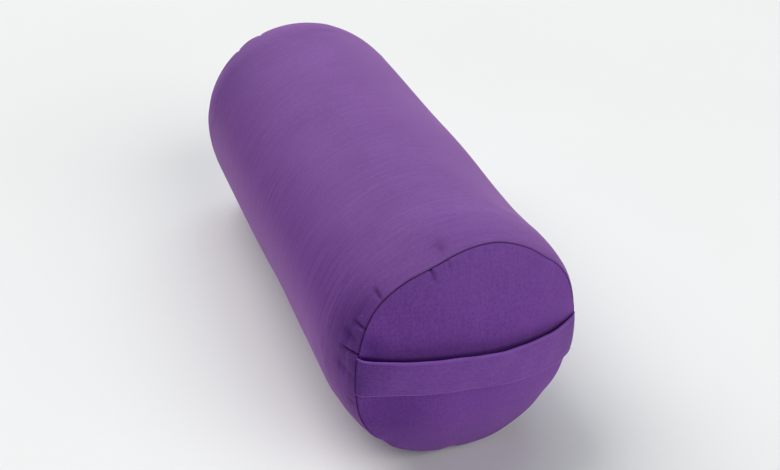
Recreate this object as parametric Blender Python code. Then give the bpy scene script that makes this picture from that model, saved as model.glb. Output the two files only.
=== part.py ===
"""Round yoga bolster lying on its side: a zipped cotton cover over a lined core of rolled batting.

Metres. +Z is up and the floor is z = 0. +Y runs along the bolster's axis, with the carry strap's
end at -Y. The origin is the middle of the flat patch that the bolster rests on. The zip runs along
the +X side, low enough to stay out of sight from the front.
"""

import math
from dataclasses import dataclass

import bmesh
import bpy
from mathutils import Matrix, Vector

# The whole bolster
BODY_RADIUS = 0.127
SEAM_LENGTH = 0.555
SEAM_RADIUS = 0.1172
CROWN = 0.028
CROWN_POWER = 2.2
STRAIGHT_HALF = 0.2225
SETTLE = 0.007
AXIS_HEIGHT = BODY_RADIUS - SETTLE

# The rounding from the barrel down to the seam starts at the top of an ellipse and stops here
SHOULDER_STOP = math.radians(35)
SHOULDER_STEPS = (90, 70, 50)

# Rings of the domed ends, as shares of the seam's radius
CROWN_SHARES = (0.0, 0.33, 0.62, 0.85)

# Seams: both cloths turn in together, down the middle of the corner
SEAM_TURN = 0.004
SEAM_HALF_GAP = 0.0002
DOWN_THE_CORNER = math.radians(45)

# Columns of the round skins, the same for every layer so that their facets stay parallel
COLUMN_STEP = 9
ZIP_ANGLE = 9
ZIP_COLUMN_OFFSETS = (0.006, 0.009, 0.014)

# Layers, as depths under the cover's outer face
COVER_CLOTH = 0.0015
LINER_CLOTH = 0.001
LAYER_GAP = 0.0003
LINER_INSET = 0.002
BATTING_INSET = LINER_INSET + LINER_CLOTH + 2 * LAYER_GAP
GROOVE_EXTRA = 0.0034
TAPE_EXTRA = 0.0011

# Filling
CORE_HALF_LENGTH = 0.2597
WRAP_HALF_LENGTH = 0.260
WRAP_END_RADIUS = 0.103
WRAP_BORE = 0.100
ROLL_RADIUS = 0.0992
ROLL_LAYER = 0.018
ROLL_PITCH = 0.019
ROLL_FEATHER = 0.0015
ROLL_POINTS_PER_TURN = 24
PAD_RADIUS = 0.100
PAD_BASE = WRAP_HALF_LENGTH + LAYER_GAP
PAD_RIM = 0.262
PAD_SHARES = (0.35, 0.62, 0.84, 1.0)

# Carry strap, sewn on out of level, its middle line arched a little upwards
STRAP_WIDTH = 0.042
STRAP_RISE = 0.002
STRAP_ARCH = 0.005
STRAP_CLOTH = 0.003
STRAP_EDGE = 0.0008
STRAP_BOW = 0.0085
STRAP_BOW_POWER = 4.0
STRAP_END_RADIUS = SEAM_RADIUS - 0.002
STRAP_TILT = math.radians(6.4)
STRAP_SEAT = 0.0004
STRAP_STEPS_ALONG = 18
STRAP_STEPS_ACROSS = 4

# Zip: offsets across it are from the chain's middle, heights are above the cover's outer face
TAPE_EDGES = (0.0033, 0.006, 0.009, 0.014, 0.015)
TAPE_INSET = 0.0019
TAPE_CLOTH = 0.0006
TAPE_HALF_LENGTH = 0.2250
CHAIN_TOP = -0.0006
CHAIN_BOTTOM = -0.0030
CHAIN_OUTER = 0.0030
CHAIN_SPINE = 0.0015
TOOTH_REACH = -0.0012
TOOTH_PITCH = 0.004
TOOTH_WIDTH = 0.0015
TOOTH_COUNT = 107
CHAIN_START = -0.2165
CHAIN_END = CHAIN_START + TOOTH_COUNT * TOOTH_PITCH

# Slider, with its mouth towards +Y
SLIDER_HALF_LENGTH = 0.006
CUT_PAST = 0.0012
SLIDER_PLACE = CHAIN_END + 0.0005
SLIDER_PLAN = (
    (0.0040, -0.0060),
    (0.0046, -0.0054),
    (0.0047, -0.0010),
    (0.0053, 0.0030),
    (0.0052, 0.0050),
    (0.0044, 0.0060),
)
SLIDER_TOP = 0.0012
SLIDER_BOTTOM = -0.0046
CHANNEL_TOP = -0.0002
CHANNEL_BOTTOM = -0.0034
FLANGE = 0.0012
SLOT_TOP = -0.0014
SLOT_BOTTOM = -0.0028
DIAMOND_PLAN = ((0.0, 0.0008), (0.0013, 0.0034), (0.0010, 0.0058), (-0.0010, 0.0058), (-0.0013, 0.0034))
BITE = 0.0001

# The bail on the slider's back and the pull that swings on it
BAIL_HALF_WIDTH = 0.0010
BAIL_HALF_LENGTH = 0.0036
BAIL_TOP = 0.0042
BAIL_CHAMFER = 0.0010
WINDOW_HALF_LENGTH = 0.0024
WINDOW_TOP = 0.0033
WINDOW_CHAMFER = 0.0004
PULL_AXIS_HEIGHT = 0.00225
PULL_HALF_THICKNESS = 0.0006
PULL_BAR = 0.0006
PULL_EYE_HALF_WIDTH = 0.0022
PULL_EYE_LENGTH = 0.0048
PULL_OUTLINE = ((0.0034, -0.0065), (0.0025, -0.0090), (0.0038, -0.0225), (0.0030, -0.0260))
PULL_TIP_EYE_RADIUS = 0.0014
PULL_TIP_EYE_PLACE = -0.0222

# Metal stops, each a clip round the tape's edge
STOP_INNER = 0.0020
STOP_OUTER = 0.0048
STOP_TOP = -0.0011
STOP_BOTTOM = -0.0031
STOP_SLOT_TOP = -0.0015
STOP_SLOT_BOTTOM = -0.0027
STOP_SLOT_INNER = 0.0031
TOP_STOP_SPAN = (0.2185, 0.2215)
BOTTOM_STOP_SPAN = (-0.2215, -0.2175)

FRONT = -1
REAR = 1


@dataclass(frozen=True)
class Bag:
    """A round bag of cloth: how far under the cover's face it lies, and how its seams are cut."""

    inset: float
    seam_step: float
    cloth: float
    allowance: float
    groove: bool

    @property
    def radius(self):
        return BODY_RADIUS - self.inset

    @property
    def seam_radius(self):
        return SEAM_RADIUS - self.seam_step * math.cos(DOWN_THE_CORNER)

    @property
    def seam_y(self):
        return SEAM_LENGTH / 2 - self.seam_step * math.sin(DOWN_THE_CORNER)

    @property
    def crown(self):
        return SEAM_LENGTH / 2 + CROWN - self.inset - self.seam_y


COVER = Bag(inset=0, seam_step=0, cloth=COVER_CLOTH, allowance=0.009, groove=False)
LINER = Bag(inset=LINER_INSET, seam_step=0.011, cloth=LINER_CLOTH, allowance=0.007, groove=True)


def clear_scene():
    for obj in list(bpy.data.objects):
        bpy.data.objects.remove(obj, do_unlink=True)


def make_material(name, colour, roughness, metallic=0.0):
    """A Principled material with the part's own colour, roughness and metallic value."""
    material = bpy.data.materials.new(name)
    material.use_nodes = True
    shader = material.node_tree.nodes["Principled BSDF"]
    shader.inputs["Base Color"].default_value = (*colour, 1)
    shader.inputs["Roughness"].default_value = roughness
    shader.inputs["Metallic"].default_value = metallic
    material.diffuse_color = (*colour, 1)
    return material


def finish_mesh(bm, name, material, sharp_angle=40):
    """Turns the bmesh into a smooth-shaded object with its own material."""
    mesh = bpy.data.meshes.new(name)
    bm.to_mesh(mesh)
    bm.free()
    mesh.shade_smooth()
    mesh.set_sharp_from_angle(angle=math.radians(sharp_angle))
    obj = bpy.data.objects.new(name, mesh)
    bpy.context.scene.collection.objects.link(obj)
    if material:
        mesh.materials.append(material)
    return obj


def make_cutter(bm, name):
    """A helper for a Boolean, left out of the build."""
    cutter = finish_mesh(bm, name, None)
    cutter.hide_render = True
    cutter.display_type = "WIRE"
    return cutter


def cut_with(obj, cutter, operation="DIFFERENCE"):
    boolean = obj.modifiers.new(cutter.name, "BOOLEAN")
    boolean.object = cutter
    boolean.operation = operation
    boolean.solver = "EXACT"


def add_thickness(obj, thickness, offset=-1):
    """Gives a sheet its cloth thickness, inwards unless offset says outwards."""
    wall = obj.modifiers.new("cloth", "SOLIDIFY")
    wall.thickness = thickness
    wall.offset = offset
    wall.use_even_offset = True
    wall.use_rim = True


def column_angles():
    """The angles of every skin's columns, with close ones on both sides of the zip."""
    close = [math.degrees(offset / BODY_RADIUS) for offset in ZIP_COLUMN_OFFSETS]
    zip_columns = [ZIP_ANGLE + side * angle for side in (-1, 1) for angle in close]
    plain = [a for a in range(0, 360, COLUMN_STEP) if abs(a - ZIP_ANGLE) > max(close)]
    return [math.radians(angle) for angle in sorted(plain + zip_columns)]


def around_from_zip(angle):
    """How far round the barrel an angle is from the zip's middle line, in metres."""
    turn = (angle - math.radians(ZIP_ANGLE) + math.pi) % (2 * math.pi) - math.pi
    return abs(turn) * BODY_RADIUS


def groove_depth(angle):
    """How much deeper the inner layers lie under the zip, for its tapes and its slider."""
    across = around_from_zip(angle)
    slit, tape_near, tape_far = ZIP_COLUMN_OFFSETS
    fade_end = math.radians(COLUMN_STEP) * BODY_RADIUS
    stations = ((0, GROOVE_EXTRA), (slit, GROOVE_EXTRA), (tape_near, TAPE_EXTRA), (tape_far, TAPE_EXTRA))
    stations += ((fade_end, 0.0),)
    for (start, low), (end, high) in zip(stations, stations[1:]):
        if across <= end:
            return low + (high - low) * (across - start) / (end - start)
    return 0.0


def ring(radius, y, inset, groove=False):
    """One ring of a round skin, cut flat where it would sink below its place on the floor."""
    points = []
    for angle in column_angles():
        reach = radius - (groove_depth(angle) if groove else 0.0)
        z = AXIS_HEIGHT + reach * math.sin(angle)
        points.append(Vector((reach * math.cos(angle), y, max(z, inset))))
    return points


def shoulder_point(seam_radius, seam_y, radius, angle):
    """A point (radius, y) of the rounding between the barrel and a seam ring."""
    rise = (math.sin(angle) - math.sin(SHOULDER_STOP)) / (1 - math.sin(SHOULDER_STOP))
    run = (math.cos(SHOULDER_STOP) - math.cos(angle)) / math.cos(SHOULDER_STOP)
    length = seam_y - STRAIGHT_HALF
    return Vector((seam_radius + (radius - seam_radius) * rise, seam_y - length * run))


def crown_point(seam_radius, seam_y, crown, radius):
    """A point (radius, y) of the domed end."""
    return Vector((radius, seam_y + crown * (1 - (radius / seam_radius) ** CROWN_POWER)))


def seam_turn(bag, start, corner, towards_body):
    """The turn of a cloth from start round the corner and down its seam allowance."""
    down = Vector((-math.cos(DOWN_THE_CORNER), -math.sin(DOWN_THE_CORNER)))
    apart = Vector((math.sin(DOWN_THE_CORNER), -math.cos(DOWN_THE_CORNER))) * SEAM_HALF_GAP
    shift = apart if towards_body else -apart
    foot = corner + down * SEAM_TURN + shift
    middle = start * 0.25 + (corner + shift) * 0.5 + foot * 0.25
    return [start, middle, foot, corner + down * bag.allowance + shift]


def body_profile(bag):
    """The body panel's (radius, y) stations from the barrel to its allowance's edge, at the rear end."""
    corner = Vector((bag.seam_radius, bag.seam_y))
    points = [
        shoulder_point(bag.seam_radius, bag.seam_y, bag.radius, math.radians(step))
        for step in SHOULDER_STEPS
    ]
    slope = math.atan2(
        (bag.radius - bag.seam_radius) * math.cos(SHOULDER_STOP) / (1 - math.sin(SHOULDER_STOP)),
        (bag.seam_y - STRAIGHT_HALF) * math.tan(SHOULDER_STOP),
    )
    start = corner + Vector((math.sin(slope), -math.cos(slope))) * SEAM_TURN
    return points + seam_turn(bag, start, corner, towards_body=True)


def end_profile(bag):
    """An end panel's (radius, y) stations from its centre to its allowance's edge, at the rear end."""
    corner = Vector((bag.seam_radius, bag.seam_y))
    points = [
        crown_point(bag.seam_radius, bag.seam_y, bag.crown, bag.seam_radius * share)
        for share in CROWN_SHARES
    ]
    slope = math.atan(CROWN_POWER * bag.crown / bag.seam_radius)
    start = corner + Vector((-math.cos(slope), math.sin(slope))) * SEAM_TURN
    return points + seam_turn(bag, start, corner, towards_body=False)


def loft(rings, flip=False, closed=False):
    """A bmesh skin through rings of points. A ring of one point closes the skin there."""
    bm = bmesh.new()
    loops = [[bm.verts.new(point) for point in points] for points in rings]
    pairs = list(zip(loops, loops[1:]))
    if closed:
        pairs.append((loops[-1], loops[0]))
    for near, far in pairs:
        count = max(len(near), len(far))
        for i in range(count):
            j = (i + 1) % count
            corners = []
            for vert in (near[i % len(near)], far[i % len(far)], far[j % len(far)], near[j % len(near)]):
                if vert not in corners:
                    corners.append(vert)
            bm.faces.new(reversed(corners) if flip else corners)
    return bm


def body_rings(bag):
    """The body panel's rings from the front allowance to the rear one."""
    profile = body_profile(bag)
    stations = [(r, -y) for r, y in reversed(profile)] + [(r, y) for r, y in profile]
    return [
        ring(r, y, bag.inset, groove=bag.groove and abs(y) <= STRAIGHT_HALF)
        for r, y in stations
    ]


def make_body_panel(name, bag, material, slit=False):
    """The tube of cloth between the two end panels, with the zip's slit left open in the cover's."""
    bm = loft(body_rings(bag))
    if slit:
        middle = math.radians(ZIP_ANGLE)
        centre = Vector((BODY_RADIUS * math.cos(middle), 0, AXIS_HEIGHT + BODY_RADIUS * math.sin(middle)))
        covering = min(bm.faces, key=lambda face: (face.calc_center_median() - centre).length)
        bmesh.ops.delete(bm, geom=[covering], context="FACES")
    panel = finish_mesh(bm, name, material)
    add_thickness(panel, bag.cloth)
    return panel


def make_end_panel(name, bag, end, material):
    """A crowned round end panel, with its allowance turned in."""
    rings = []
    for r, y in end_profile(bag):
        if r == 0:
            rings.append([Vector((0, end * y, AXIS_HEIGHT))])
        else:
            rings.append(ring(r, end * y, 0))
    panel = finish_mesh(loft(rings, flip=end == REAR), name, material)
    add_thickness(panel, bag.cloth)
    return panel


def crown_height(radius):
    """How far past the seam plane the cover's end bulges at a radius."""
    return CROWN * (1 - (radius / SEAM_RADIUS) ** CROWN_POWER)


def strap_point(along, across):
    """A point of the strap's inner face. Along runs from -1 to 1, across from -1/2 to 1/2."""
    height = STRAP_RISE + STRAP_ARCH * (1 - along**2) + across * STRAP_WIDTH
    x = along * math.sqrt(STRAP_END_RADIUS**2 - height**2)
    lift = STRAP_SEAT + STRAP_BOW * (1 - abs(along) ** STRAP_BOW_POWER)
    y = -(SEAM_LENGTH / 2 + crown_height(math.hypot(x, height)) + lift)
    return Vector((x, y, height))


def make_carry_strap(material):
    """The flat strap across the front end, standing off the crown so that a hand goes under it."""
    level = Matrix.Translation((0, 0, AXIS_HEIGHT)) @ Matrix.Rotation(STRAP_TILT, 4, "Y")
    bm = bmesh.new()
    rows = []
    for i in range(STRAP_STEPS_ALONG + 1):
        along = -1 + 2 * i / STRAP_STEPS_ALONG
        steps = [j / STRAP_STEPS_ACROSS - 0.5 for j in range(STRAP_STEPS_ACROSS + 1)]
        rows.append([bm.verts.new(level @ strap_point(along, across)) for across in steps])
    for near, far in zip(rows, rows[1:]):
        for j in range(STRAP_STEPS_ACROSS):
            bm.faces.new((near[j], far[j], far[j + 1], near[j + 1]))
    strap = finish_mesh(bm, "carry_strap", material)
    add_thickness(strap, STRAP_CLOTH, offset=1)
    rounding = strap.modifiers.new("edges", "BEVEL")
    rounding.width = STRAP_EDGE
    rounding.segments = 1
    rounding.limit_method = "ANGLE"
    rounding.angle_limit = math.radians(50)
    return strap


def make_batting_wrap(material):
    """The outer batting: a thick tube with rounded shoulders, grooved under the zip."""
    radius = BODY_RADIUS - BATTING_INSET
    shoulder = [
        shoulder_point(WRAP_END_RADIUS, WRAP_HALF_LENGTH, radius, math.radians(step))
        for step in (*SHOULDER_STEPS, math.degrees(SHOULDER_STOP))
    ]
    stations = [(r, -y) for r, y in reversed(shoulder)] + [(r, y) for r, y in shoulder]
    rings = [ring(r, y, BATTING_INSET, groove=abs(y) <= STRAIGHT_HALF) for r, y in stations]
    rings.append(ring(WRAP_BORE, WRAP_HALF_LENGTH, 0))
    rings.append(ring(WRAP_BORE, -WRAP_HALF_LENGTH, 0))
    return finish_mesh(loft(rings, closed=True), "batting_wrap", material)


def roll_outline():
    """The rolled sheet seen end on: out along its outer face, then back along its inner face."""
    turns = (ROLL_RADIUS - ROLL_FEATHER) / ROLL_PITCH
    steps = int(turns * ROLL_POINTS_PER_TURN)
    outer, inner = [], []
    for i in range(steps + 1):
        angle = turns * 2 * math.pi * i / steps
        start = ROLL_PITCH * angle / (2 * math.pi)
        end = min(start + ROLL_LAYER, ROLL_RADIUS)
        direction = Vector((math.cos(angle), math.sin(angle)))
        outer.append(direction * end)
        if i > 0:
            inner.append(direction * start)
    return outer + inner[::-1]


def as_drawn(u, v, w):
    """Keeps a plan in X and Y and its depth in Z."""
    return (u, v, w)


def extrude_outline(outline, low, high, place):
    """A closed prism: each outline point goes through place at both the low and the high end."""
    bm = bmesh.new()
    base = bm.faces.new([bm.verts.new(place(u, v, low)) for u, v in outline])
    made = bmesh.ops.extrude_face_region(bm, geom=[base])
    raised = [item for item in made["geom"] if isinstance(item, bmesh.types.BMVert)]
    shift = Vector(place(0, 0, high)) - Vector(place(0, 0, low))
    bmesh.ops.translate(bm, verts=raised, vec=shift)
    bmesh.ops.recalc_face_normals(bm, faces=bm.faces)
    return bm


def make_batting_roll(material):
    """The firm core: one long sheet of batting rolled up on itself, with a feathered last turn."""
    bm = extrude_outline(
        roll_outline(),
        -CORE_HALF_LENGTH,
        CORE_HALF_LENGTH,
        lambda u, v, w: (u, w, AXIS_HEIGHT + v),
    )
    return finish_mesh(bm, "batting_roll", material)


def make_end_pad(name, end, material):
    """The domed pad that fills an end's crown."""
    dome = LINER.seam_y + LINER.crown - LINER_CLOTH - LAYER_GAP - PAD_RIM
    rings = [[Vector((0, end * (PAD_RIM + dome), AXIS_HEIGHT))]]
    for share in PAD_SHARES:
        y = PAD_RIM + dome * (1 - share**CROWN_POWER)
        rings.append(ring(PAD_RADIUS * share, end * y, 0))
    rings.append(ring(PAD_RADIUS, end * PAD_BASE, 0))
    rings.append([Vector((0, end * PAD_BASE, AXIS_HEIGHT))])
    return finish_mesh(loft(rings, flip=end == REAR), name, material)


def zip_line_matrix():
    """The zip's own frame on the cover's outer face: X across and down, Y along, Z straight out."""
    angle = math.radians(ZIP_ANGLE)
    across = Vector((math.sin(angle), 0, -math.cos(angle)))
    along = Vector((0, 1, 0))
    out = Vector((math.cos(angle), 0, math.sin(angle)))
    turn = Matrix((across, along, out)).transposed().to_4x4()
    place = Vector((BODY_RADIUS * math.cos(angle), 0, AXIS_HEIGHT + BODY_RADIUS * math.sin(angle)))
    return Matrix.Translation(place) @ turn


def make_zip_line():
    """The empty that carries every piece of the zip."""
    line = bpy.data.objects.new("zip_line", None)
    line.matrix_world = zip_line_matrix()
    bpy.context.scene.collection.objects.link(line)
    return line


def make_zip_tape(name, side, line, material):
    """One woven tape, following the round of the cover that it is sewn under. Side 1 is the lower."""
    bm = bmesh.new()
    rows = []
    for y in (-TAPE_HALF_LENGTH, TAPE_HALF_LENGTH):
        row = []
        for edge in TAPE_EDGES:
            turn = side * edge / BODY_RADIUS
            reach = BODY_RADIUS - TAPE_INSET
            row.append(bm.verts.new((reach * math.sin(turn), y, reach * math.cos(turn) - BODY_RADIUS)))
        rows.append(row)
    for j in range(len(TAPE_EDGES) - 1):
        corners = (rows[0][j], rows[0][j + 1], rows[1][j + 1], rows[1][j])
        bm.faces.new(corners if side > 0 else reversed(corners))
    tape = finish_mesh(bm, name, material)
    tape.parent = line
    add_thickness(tape, TAPE_CLOTH)
    return tape


def make_zip_coil(name, side, phase, line, material):
    """One row of teeth: a comb whose teeth pass the chain's middle between those of the other row."""
    outline = [(side * CHAIN_OUTER, CHAIN_END), (side * CHAIN_OUTER, CHAIN_START)]
    outline.append((side * CHAIN_SPINE, CHAIN_START))
    for i in range(TOOTH_COUNT):
        start = CHAIN_START + i * TOOTH_PITCH + phase
        end = start + TOOTH_WIDTH
        outline.append((side * CHAIN_SPINE, start))
        outline.append((side * TOOTH_REACH, start))
        outline.append((side * TOOTH_REACH, end))
        outline.append((side * CHAIN_SPINE, end))
    outline.append((side * CHAIN_SPINE, CHAIN_END))
    bm = extrude_outline(outline, CHAIN_BOTTOM, CHAIN_TOP, as_drawn)
    coil = finish_mesh(bm, name, material)
    coil.parent = line
    return coil


def mirrored(half_outline):
    """A symmetric plan from its +X half, listed from -Y to +Y."""
    return list(half_outline) + [(-x, y) for x, y in reversed(half_outline)]


def make_zip_slider(line, material):
    """Two plates joined by a diamond, flanges round the teeth with slots for the tapes, and a bail."""
    bm = extrude_outline(mirrored(SLIDER_PLAN), SLIDER_BOTTOM, SLIDER_TOP, as_drawn)
    slider = finish_mesh(bm, "zip_slider", material)

    past = SLIDER_HALF_LENGTH + CUT_PAST
    channel_plan = [(SLIDER_PLAN[1][0] - FLANGE, -past)]
    channel_plan += [(x - FLANGE, y) for x, y in SLIDER_PLAN[1:-1]]
    channel_plan += [(SLIDER_PLAN[-2][0] - FLANGE, past)]
    channel = extrude_outline(mirrored(channel_plan), CHANNEL_BOTTOM, CHANNEL_TOP, as_drawn)
    slot_plan = mirrored(((past, -past), (past, past)))
    slot = extrude_outline(slot_plan, SLOT_BOTTOM, SLOT_TOP, as_drawn)
    diamond = extrude_outline(DIAMOND_PLAN, CHANNEL_BOTTOM - BITE, CHANNEL_TOP + BITE, as_drawn)

    foot = SLIDER_TOP - 2 * BITE
    bail_outline = [
        (-BAIL_HALF_LENGTH, foot),
        (-BAIL_HALF_LENGTH, BAIL_TOP - BAIL_CHAMFER),
        (-BAIL_HALF_LENGTH + BAIL_CHAMFER, BAIL_TOP),
        (BAIL_HALF_LENGTH - BAIL_CHAMFER, BAIL_TOP),
        (BAIL_HALF_LENGTH, BAIL_TOP - BAIL_CHAMFER),
        (BAIL_HALF_LENGTH, foot),
        (WINDOW_HALF_LENGTH, foot),
        (WINDOW_HALF_LENGTH, WINDOW_TOP - WINDOW_CHAMFER),
        (WINDOW_HALF_LENGTH - WINDOW_CHAMFER, WINDOW_TOP),
        (-WINDOW_HALF_LENGTH + WINDOW_CHAMFER, WINDOW_TOP),
        (-WINDOW_HALF_LENGTH, WINDOW_TOP - WINDOW_CHAMFER),
        (-WINDOW_HALF_LENGTH, foot),
    ]
    bail = extrude_outline(bail_outline, -BAIL_HALF_WIDTH, BAIL_HALF_WIDTH, lambda u, v, w: (w, u, v))

    slider.parent = line
    slider.location = (0, SLIDER_PLACE, 0)
    helpers = (
        (channel, "slider_channel_cutter", "DIFFERENCE"),
        (slot, "slider_slot_cutter", "DIFFERENCE"),
        (diamond, "slider_diamond", "UNION"),
        (bail, "slider_bail", "UNION"),
    )
    for helper_bm, name, operation in helpers:
        helper = make_cutter(helper_bm, name)
        helper.parent = line
        helper.location = slider.location
        cut_with(slider, helper, operation)
    return slider


def circle_outline(radius, centre_y, count=12):
    """A round hole's outline."""
    turns = [2 * math.pi * i / count for i in range(count)]
    return [(radius * math.cos(a), centre_y + radius * math.sin(a)) for a in turns]


def make_zip_pull(line, material):
    """The tab: its end bar lies in the bail's window, and its origin is on the bar's axis."""
    plan = mirrored(((PULL_OUTLINE[0][0], PULL_BAR), *PULL_OUTLINE))
    bm = extrude_outline(plan, -PULL_HALF_THICKNESS, PULL_HALF_THICKNESS, as_drawn)
    pull = finish_mesh(bm, "zip_pull", material)
    pull.parent = line
    pull.location = (0, SLIDER_PLACE, PULL_AXIS_HEIGHT)
    eye_plan = mirrored(
        ((PULL_EYE_HALF_WIDTH, -PULL_BAR), (PULL_EYE_HALF_WIDTH, -PULL_BAR - PULL_EYE_LENGTH))
    )
    past = PULL_HALF_THICKNESS + CUT_PAST
    holes = (
        ("pull_eye_cutter", eye_plan),
        ("pull_tip_cutter", circle_outline(PULL_TIP_EYE_RADIUS, PULL_TIP_EYE_PLACE)),
    )
    for name, hole_plan in holes:
        cutter = make_cutter(extrude_outline(hole_plan, -past, past, as_drawn), name)
        cutter.parent = line
        cutter.location = pull.location
        cut_with(pull, cutter)
    return pull


def clip_outline(side):
    """The section of a stop that grips one tape's edge."""
    return [
        (side * STOP_INNER, STOP_BOTTOM),
        (side * STOP_OUTER, STOP_BOTTOM),
        (side * STOP_OUTER, STOP_SLOT_BOTTOM),
        (side * STOP_SLOT_INNER, STOP_SLOT_BOTTOM),
        (side * STOP_SLOT_INNER, STOP_SLOT_TOP),
        (side * STOP_OUTER, STOP_SLOT_TOP),
        (side * STOP_OUTER, STOP_TOP),
        (side * STOP_INNER, STOP_TOP),
    ]


def make_stop(name, outline, span, line, material):
    bm = extrude_outline(outline, *span, lambda u, v, w: (u, w, v))
    stop = finish_mesh(bm, name, material)
    stop.parent = line
    return stop


def make_cover():
    twill = (0.19, 0.08, 0.31)
    make_body_panel("cover_body", COVER, make_material("cover_body_twill", twill, 0.9), slit=True)
    make_end_panel("cover_end_front", COVER, FRONT, make_material("cover_end_front_twill", twill, 0.9))
    make_end_panel("cover_end_rear", COVER, REAR, make_material("cover_end_rear_twill", twill, 0.9))
    make_carry_strap(make_material("carry_strap_twill", (0.13, 0.055, 0.24), 0.9))


def make_zip():
    line = make_zip_line()
    purple = (0.12, 0.05, 0.21)
    metal = (0.55, 0.55, 0.57)
    half_pitch = TOOTH_PITCH / 2
    make_zip_tape("zip_tape_upper", -1, line, make_material("zip_tape_upper_weave", purple, 0.9))
    make_zip_tape("zip_tape_lower", 1, line, make_material("zip_tape_lower_weave", purple, 0.9))
    margin = (half_pitch - TOOTH_WIDTH) / 2
    upper_nylon = make_material("zip_coil_upper_nylon", purple, 0.45)
    lower_nylon = make_material("zip_coil_lower_nylon", purple, 0.45)
    make_zip_coil("zip_coil_upper", -1, half_pitch + margin, line, upper_nylon)
    make_zip_coil("zip_coil_lower", 1, margin, line, lower_nylon)
    make_zip_slider(line, make_material("zip_slider_metal", metal, 0.35, 1.0))
    make_zip_pull(line, make_material("zip_pull_metal", metal, 0.35, 1.0))
    for name, side in (("zip_top_stop_upper", -1), ("zip_top_stop_lower", 1)):
        top_metal = make_material(name + "_metal", metal, 0.35, 1.0)
        make_stop(name, clip_outline(side), TOP_STOP_SPAN, line, top_metal)
    both = clip_outline(1)[1:-1] + clip_outline(-1)[1:-1][::-1]
    bottom_metal = make_material("zip_bottom_stop_metal", metal, 0.35, 1.0)
    make_stop("zip_bottom_stop", both, BOTTOM_STOP_SPAN, line, bottom_metal)


def make_filling():
    muslin = (0.72, 0.68, 0.60)
    cotton = (0.80, 0.78, 0.73)
    make_body_panel("liner_body", LINER, make_material("liner_body_muslin", muslin, 0.9))
    make_end_panel("liner_end_front", LINER, FRONT, make_material("liner_end_front_muslin", muslin, 0.9))
    make_end_panel("liner_end_rear", LINER, REAR, make_material("liner_end_rear_muslin", muslin, 0.9))
    make_batting_wrap(make_material("batting_wrap_cotton", cotton, 1.0))
    make_batting_roll(make_material("batting_roll_cotton", cotton, 1.0))
    make_end_pad("end_pad_front", FRONT, make_material("end_pad_front_cotton", cotton, 1.0))
    make_end_pad("end_pad_rear", REAR, make_material("end_pad_rear_cotton", cotton, 1.0))


def main():
    clear_scene()
    make_cover()
    make_zip()
    make_filling()


main()
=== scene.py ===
"""The looks of the round yoga bolster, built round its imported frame.

Metres. +Z is up, the floor is z = 0 and the bolster's axis runs along Y, with the carry strap's end
at -Y. An angle round the axis is measured from +X towards +Z. The zip runs along the +X side.
"""

import logging
import math
from collections.abc import Callable, Sequence
from dataclasses import dataclass, field
from enum import Enum

import bpy
import numpy as np
from mathutils import Matrix, Vector

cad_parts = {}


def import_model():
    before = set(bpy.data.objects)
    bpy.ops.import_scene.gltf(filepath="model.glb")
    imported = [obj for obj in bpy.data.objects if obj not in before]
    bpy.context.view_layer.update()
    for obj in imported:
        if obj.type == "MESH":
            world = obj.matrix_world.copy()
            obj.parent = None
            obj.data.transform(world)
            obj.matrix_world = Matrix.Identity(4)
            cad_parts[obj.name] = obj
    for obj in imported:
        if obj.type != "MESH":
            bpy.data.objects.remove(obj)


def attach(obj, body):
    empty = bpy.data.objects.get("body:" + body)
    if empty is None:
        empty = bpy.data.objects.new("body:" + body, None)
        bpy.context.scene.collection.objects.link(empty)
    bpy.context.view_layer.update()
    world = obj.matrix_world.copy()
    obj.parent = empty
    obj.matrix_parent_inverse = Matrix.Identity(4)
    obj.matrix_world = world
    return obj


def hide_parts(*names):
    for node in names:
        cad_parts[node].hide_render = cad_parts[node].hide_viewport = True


log = logging.getLogger("bolster")

MM = 0.001
TURN = 2 * math.pi
Array = np.ndarray
Pair = tuple[float, float]
Colour = tuple[float, float, float]
Piece = bpy.types.Object
Tree = bpy.types.NodeTree


# Small helpers


def ease(low: float, high: float, value: Array) -> Array:
    """A smooth step from 0 at the low value to 1 at the high one."""
    share = np.clip((value - low) / (high - low), 0, 1)
    return share * share * (3 - 2 * share)


def bump(value: Array, width: float) -> Array:
    """A round hill of height 1 at value 0, gone past twice its width."""
    return np.exp(-((value / width) ** 2))


def turn_between(angle: Array, other: float) -> Array:
    """The signed turn from another angle, between -pi and pi."""
    return (angle - other + math.pi) % TURN - math.pi


def spaced(start: float, end: float, step: float) -> list[float]:
    """Even stations, at most a step apart, from the start up to, but not at, the end."""
    count = max(1, math.ceil((end - start) / step - 1e-6))
    return [start + (end - start) * i / count for i in range(count)]


def direction(azimuth: float, elevation: float) -> Vector:
    """The unit vector at an azimuth from +X towards +Y and an elevation, in radians."""
    level = math.cos(elevation)
    return Vector((math.cos(azimuth) * level, math.sin(azimuth) * level, math.sin(elevation)))


def read_cubic(grid: Array, rows: Array, columns: Array) -> Array:
    """Reads a grid that closes on itself round its columns, with smooth curves between its points.

    Args:
        grid: rows by columns by components.
        rows: fractional row of each place read.
        columns: fractional column of each place read.

    Returns:
        The components at each place.
    """

    def weights(share: Array) -> list[Array]:
        """The four Catmull-Rom weights of a share between two points."""
        square, cube = share**2, share**3
        return [
            (-share + 2 * square - cube) / 2,
            (2 - 5 * square + 3 * cube) / 2,
            (share + 4 * square - 3 * cube) / 2,
            (cube - square) / 2,
        ]

    row, column = np.floor(rows).astype(int), np.floor(columns).astype(int)
    read = np.zeros((*np.shape(rows), grid.shape[2]))
    for i, down in enumerate(weights(rows - row)):
        line = np.clip(row + i - 1, 0, grid.shape[0] - 1)
        for j, across in enumerate(weights(columns - column)):
            read += (down * across)[..., None] * grid[line, (column + j - 1) % grid.shape[1]]
    return read


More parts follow.
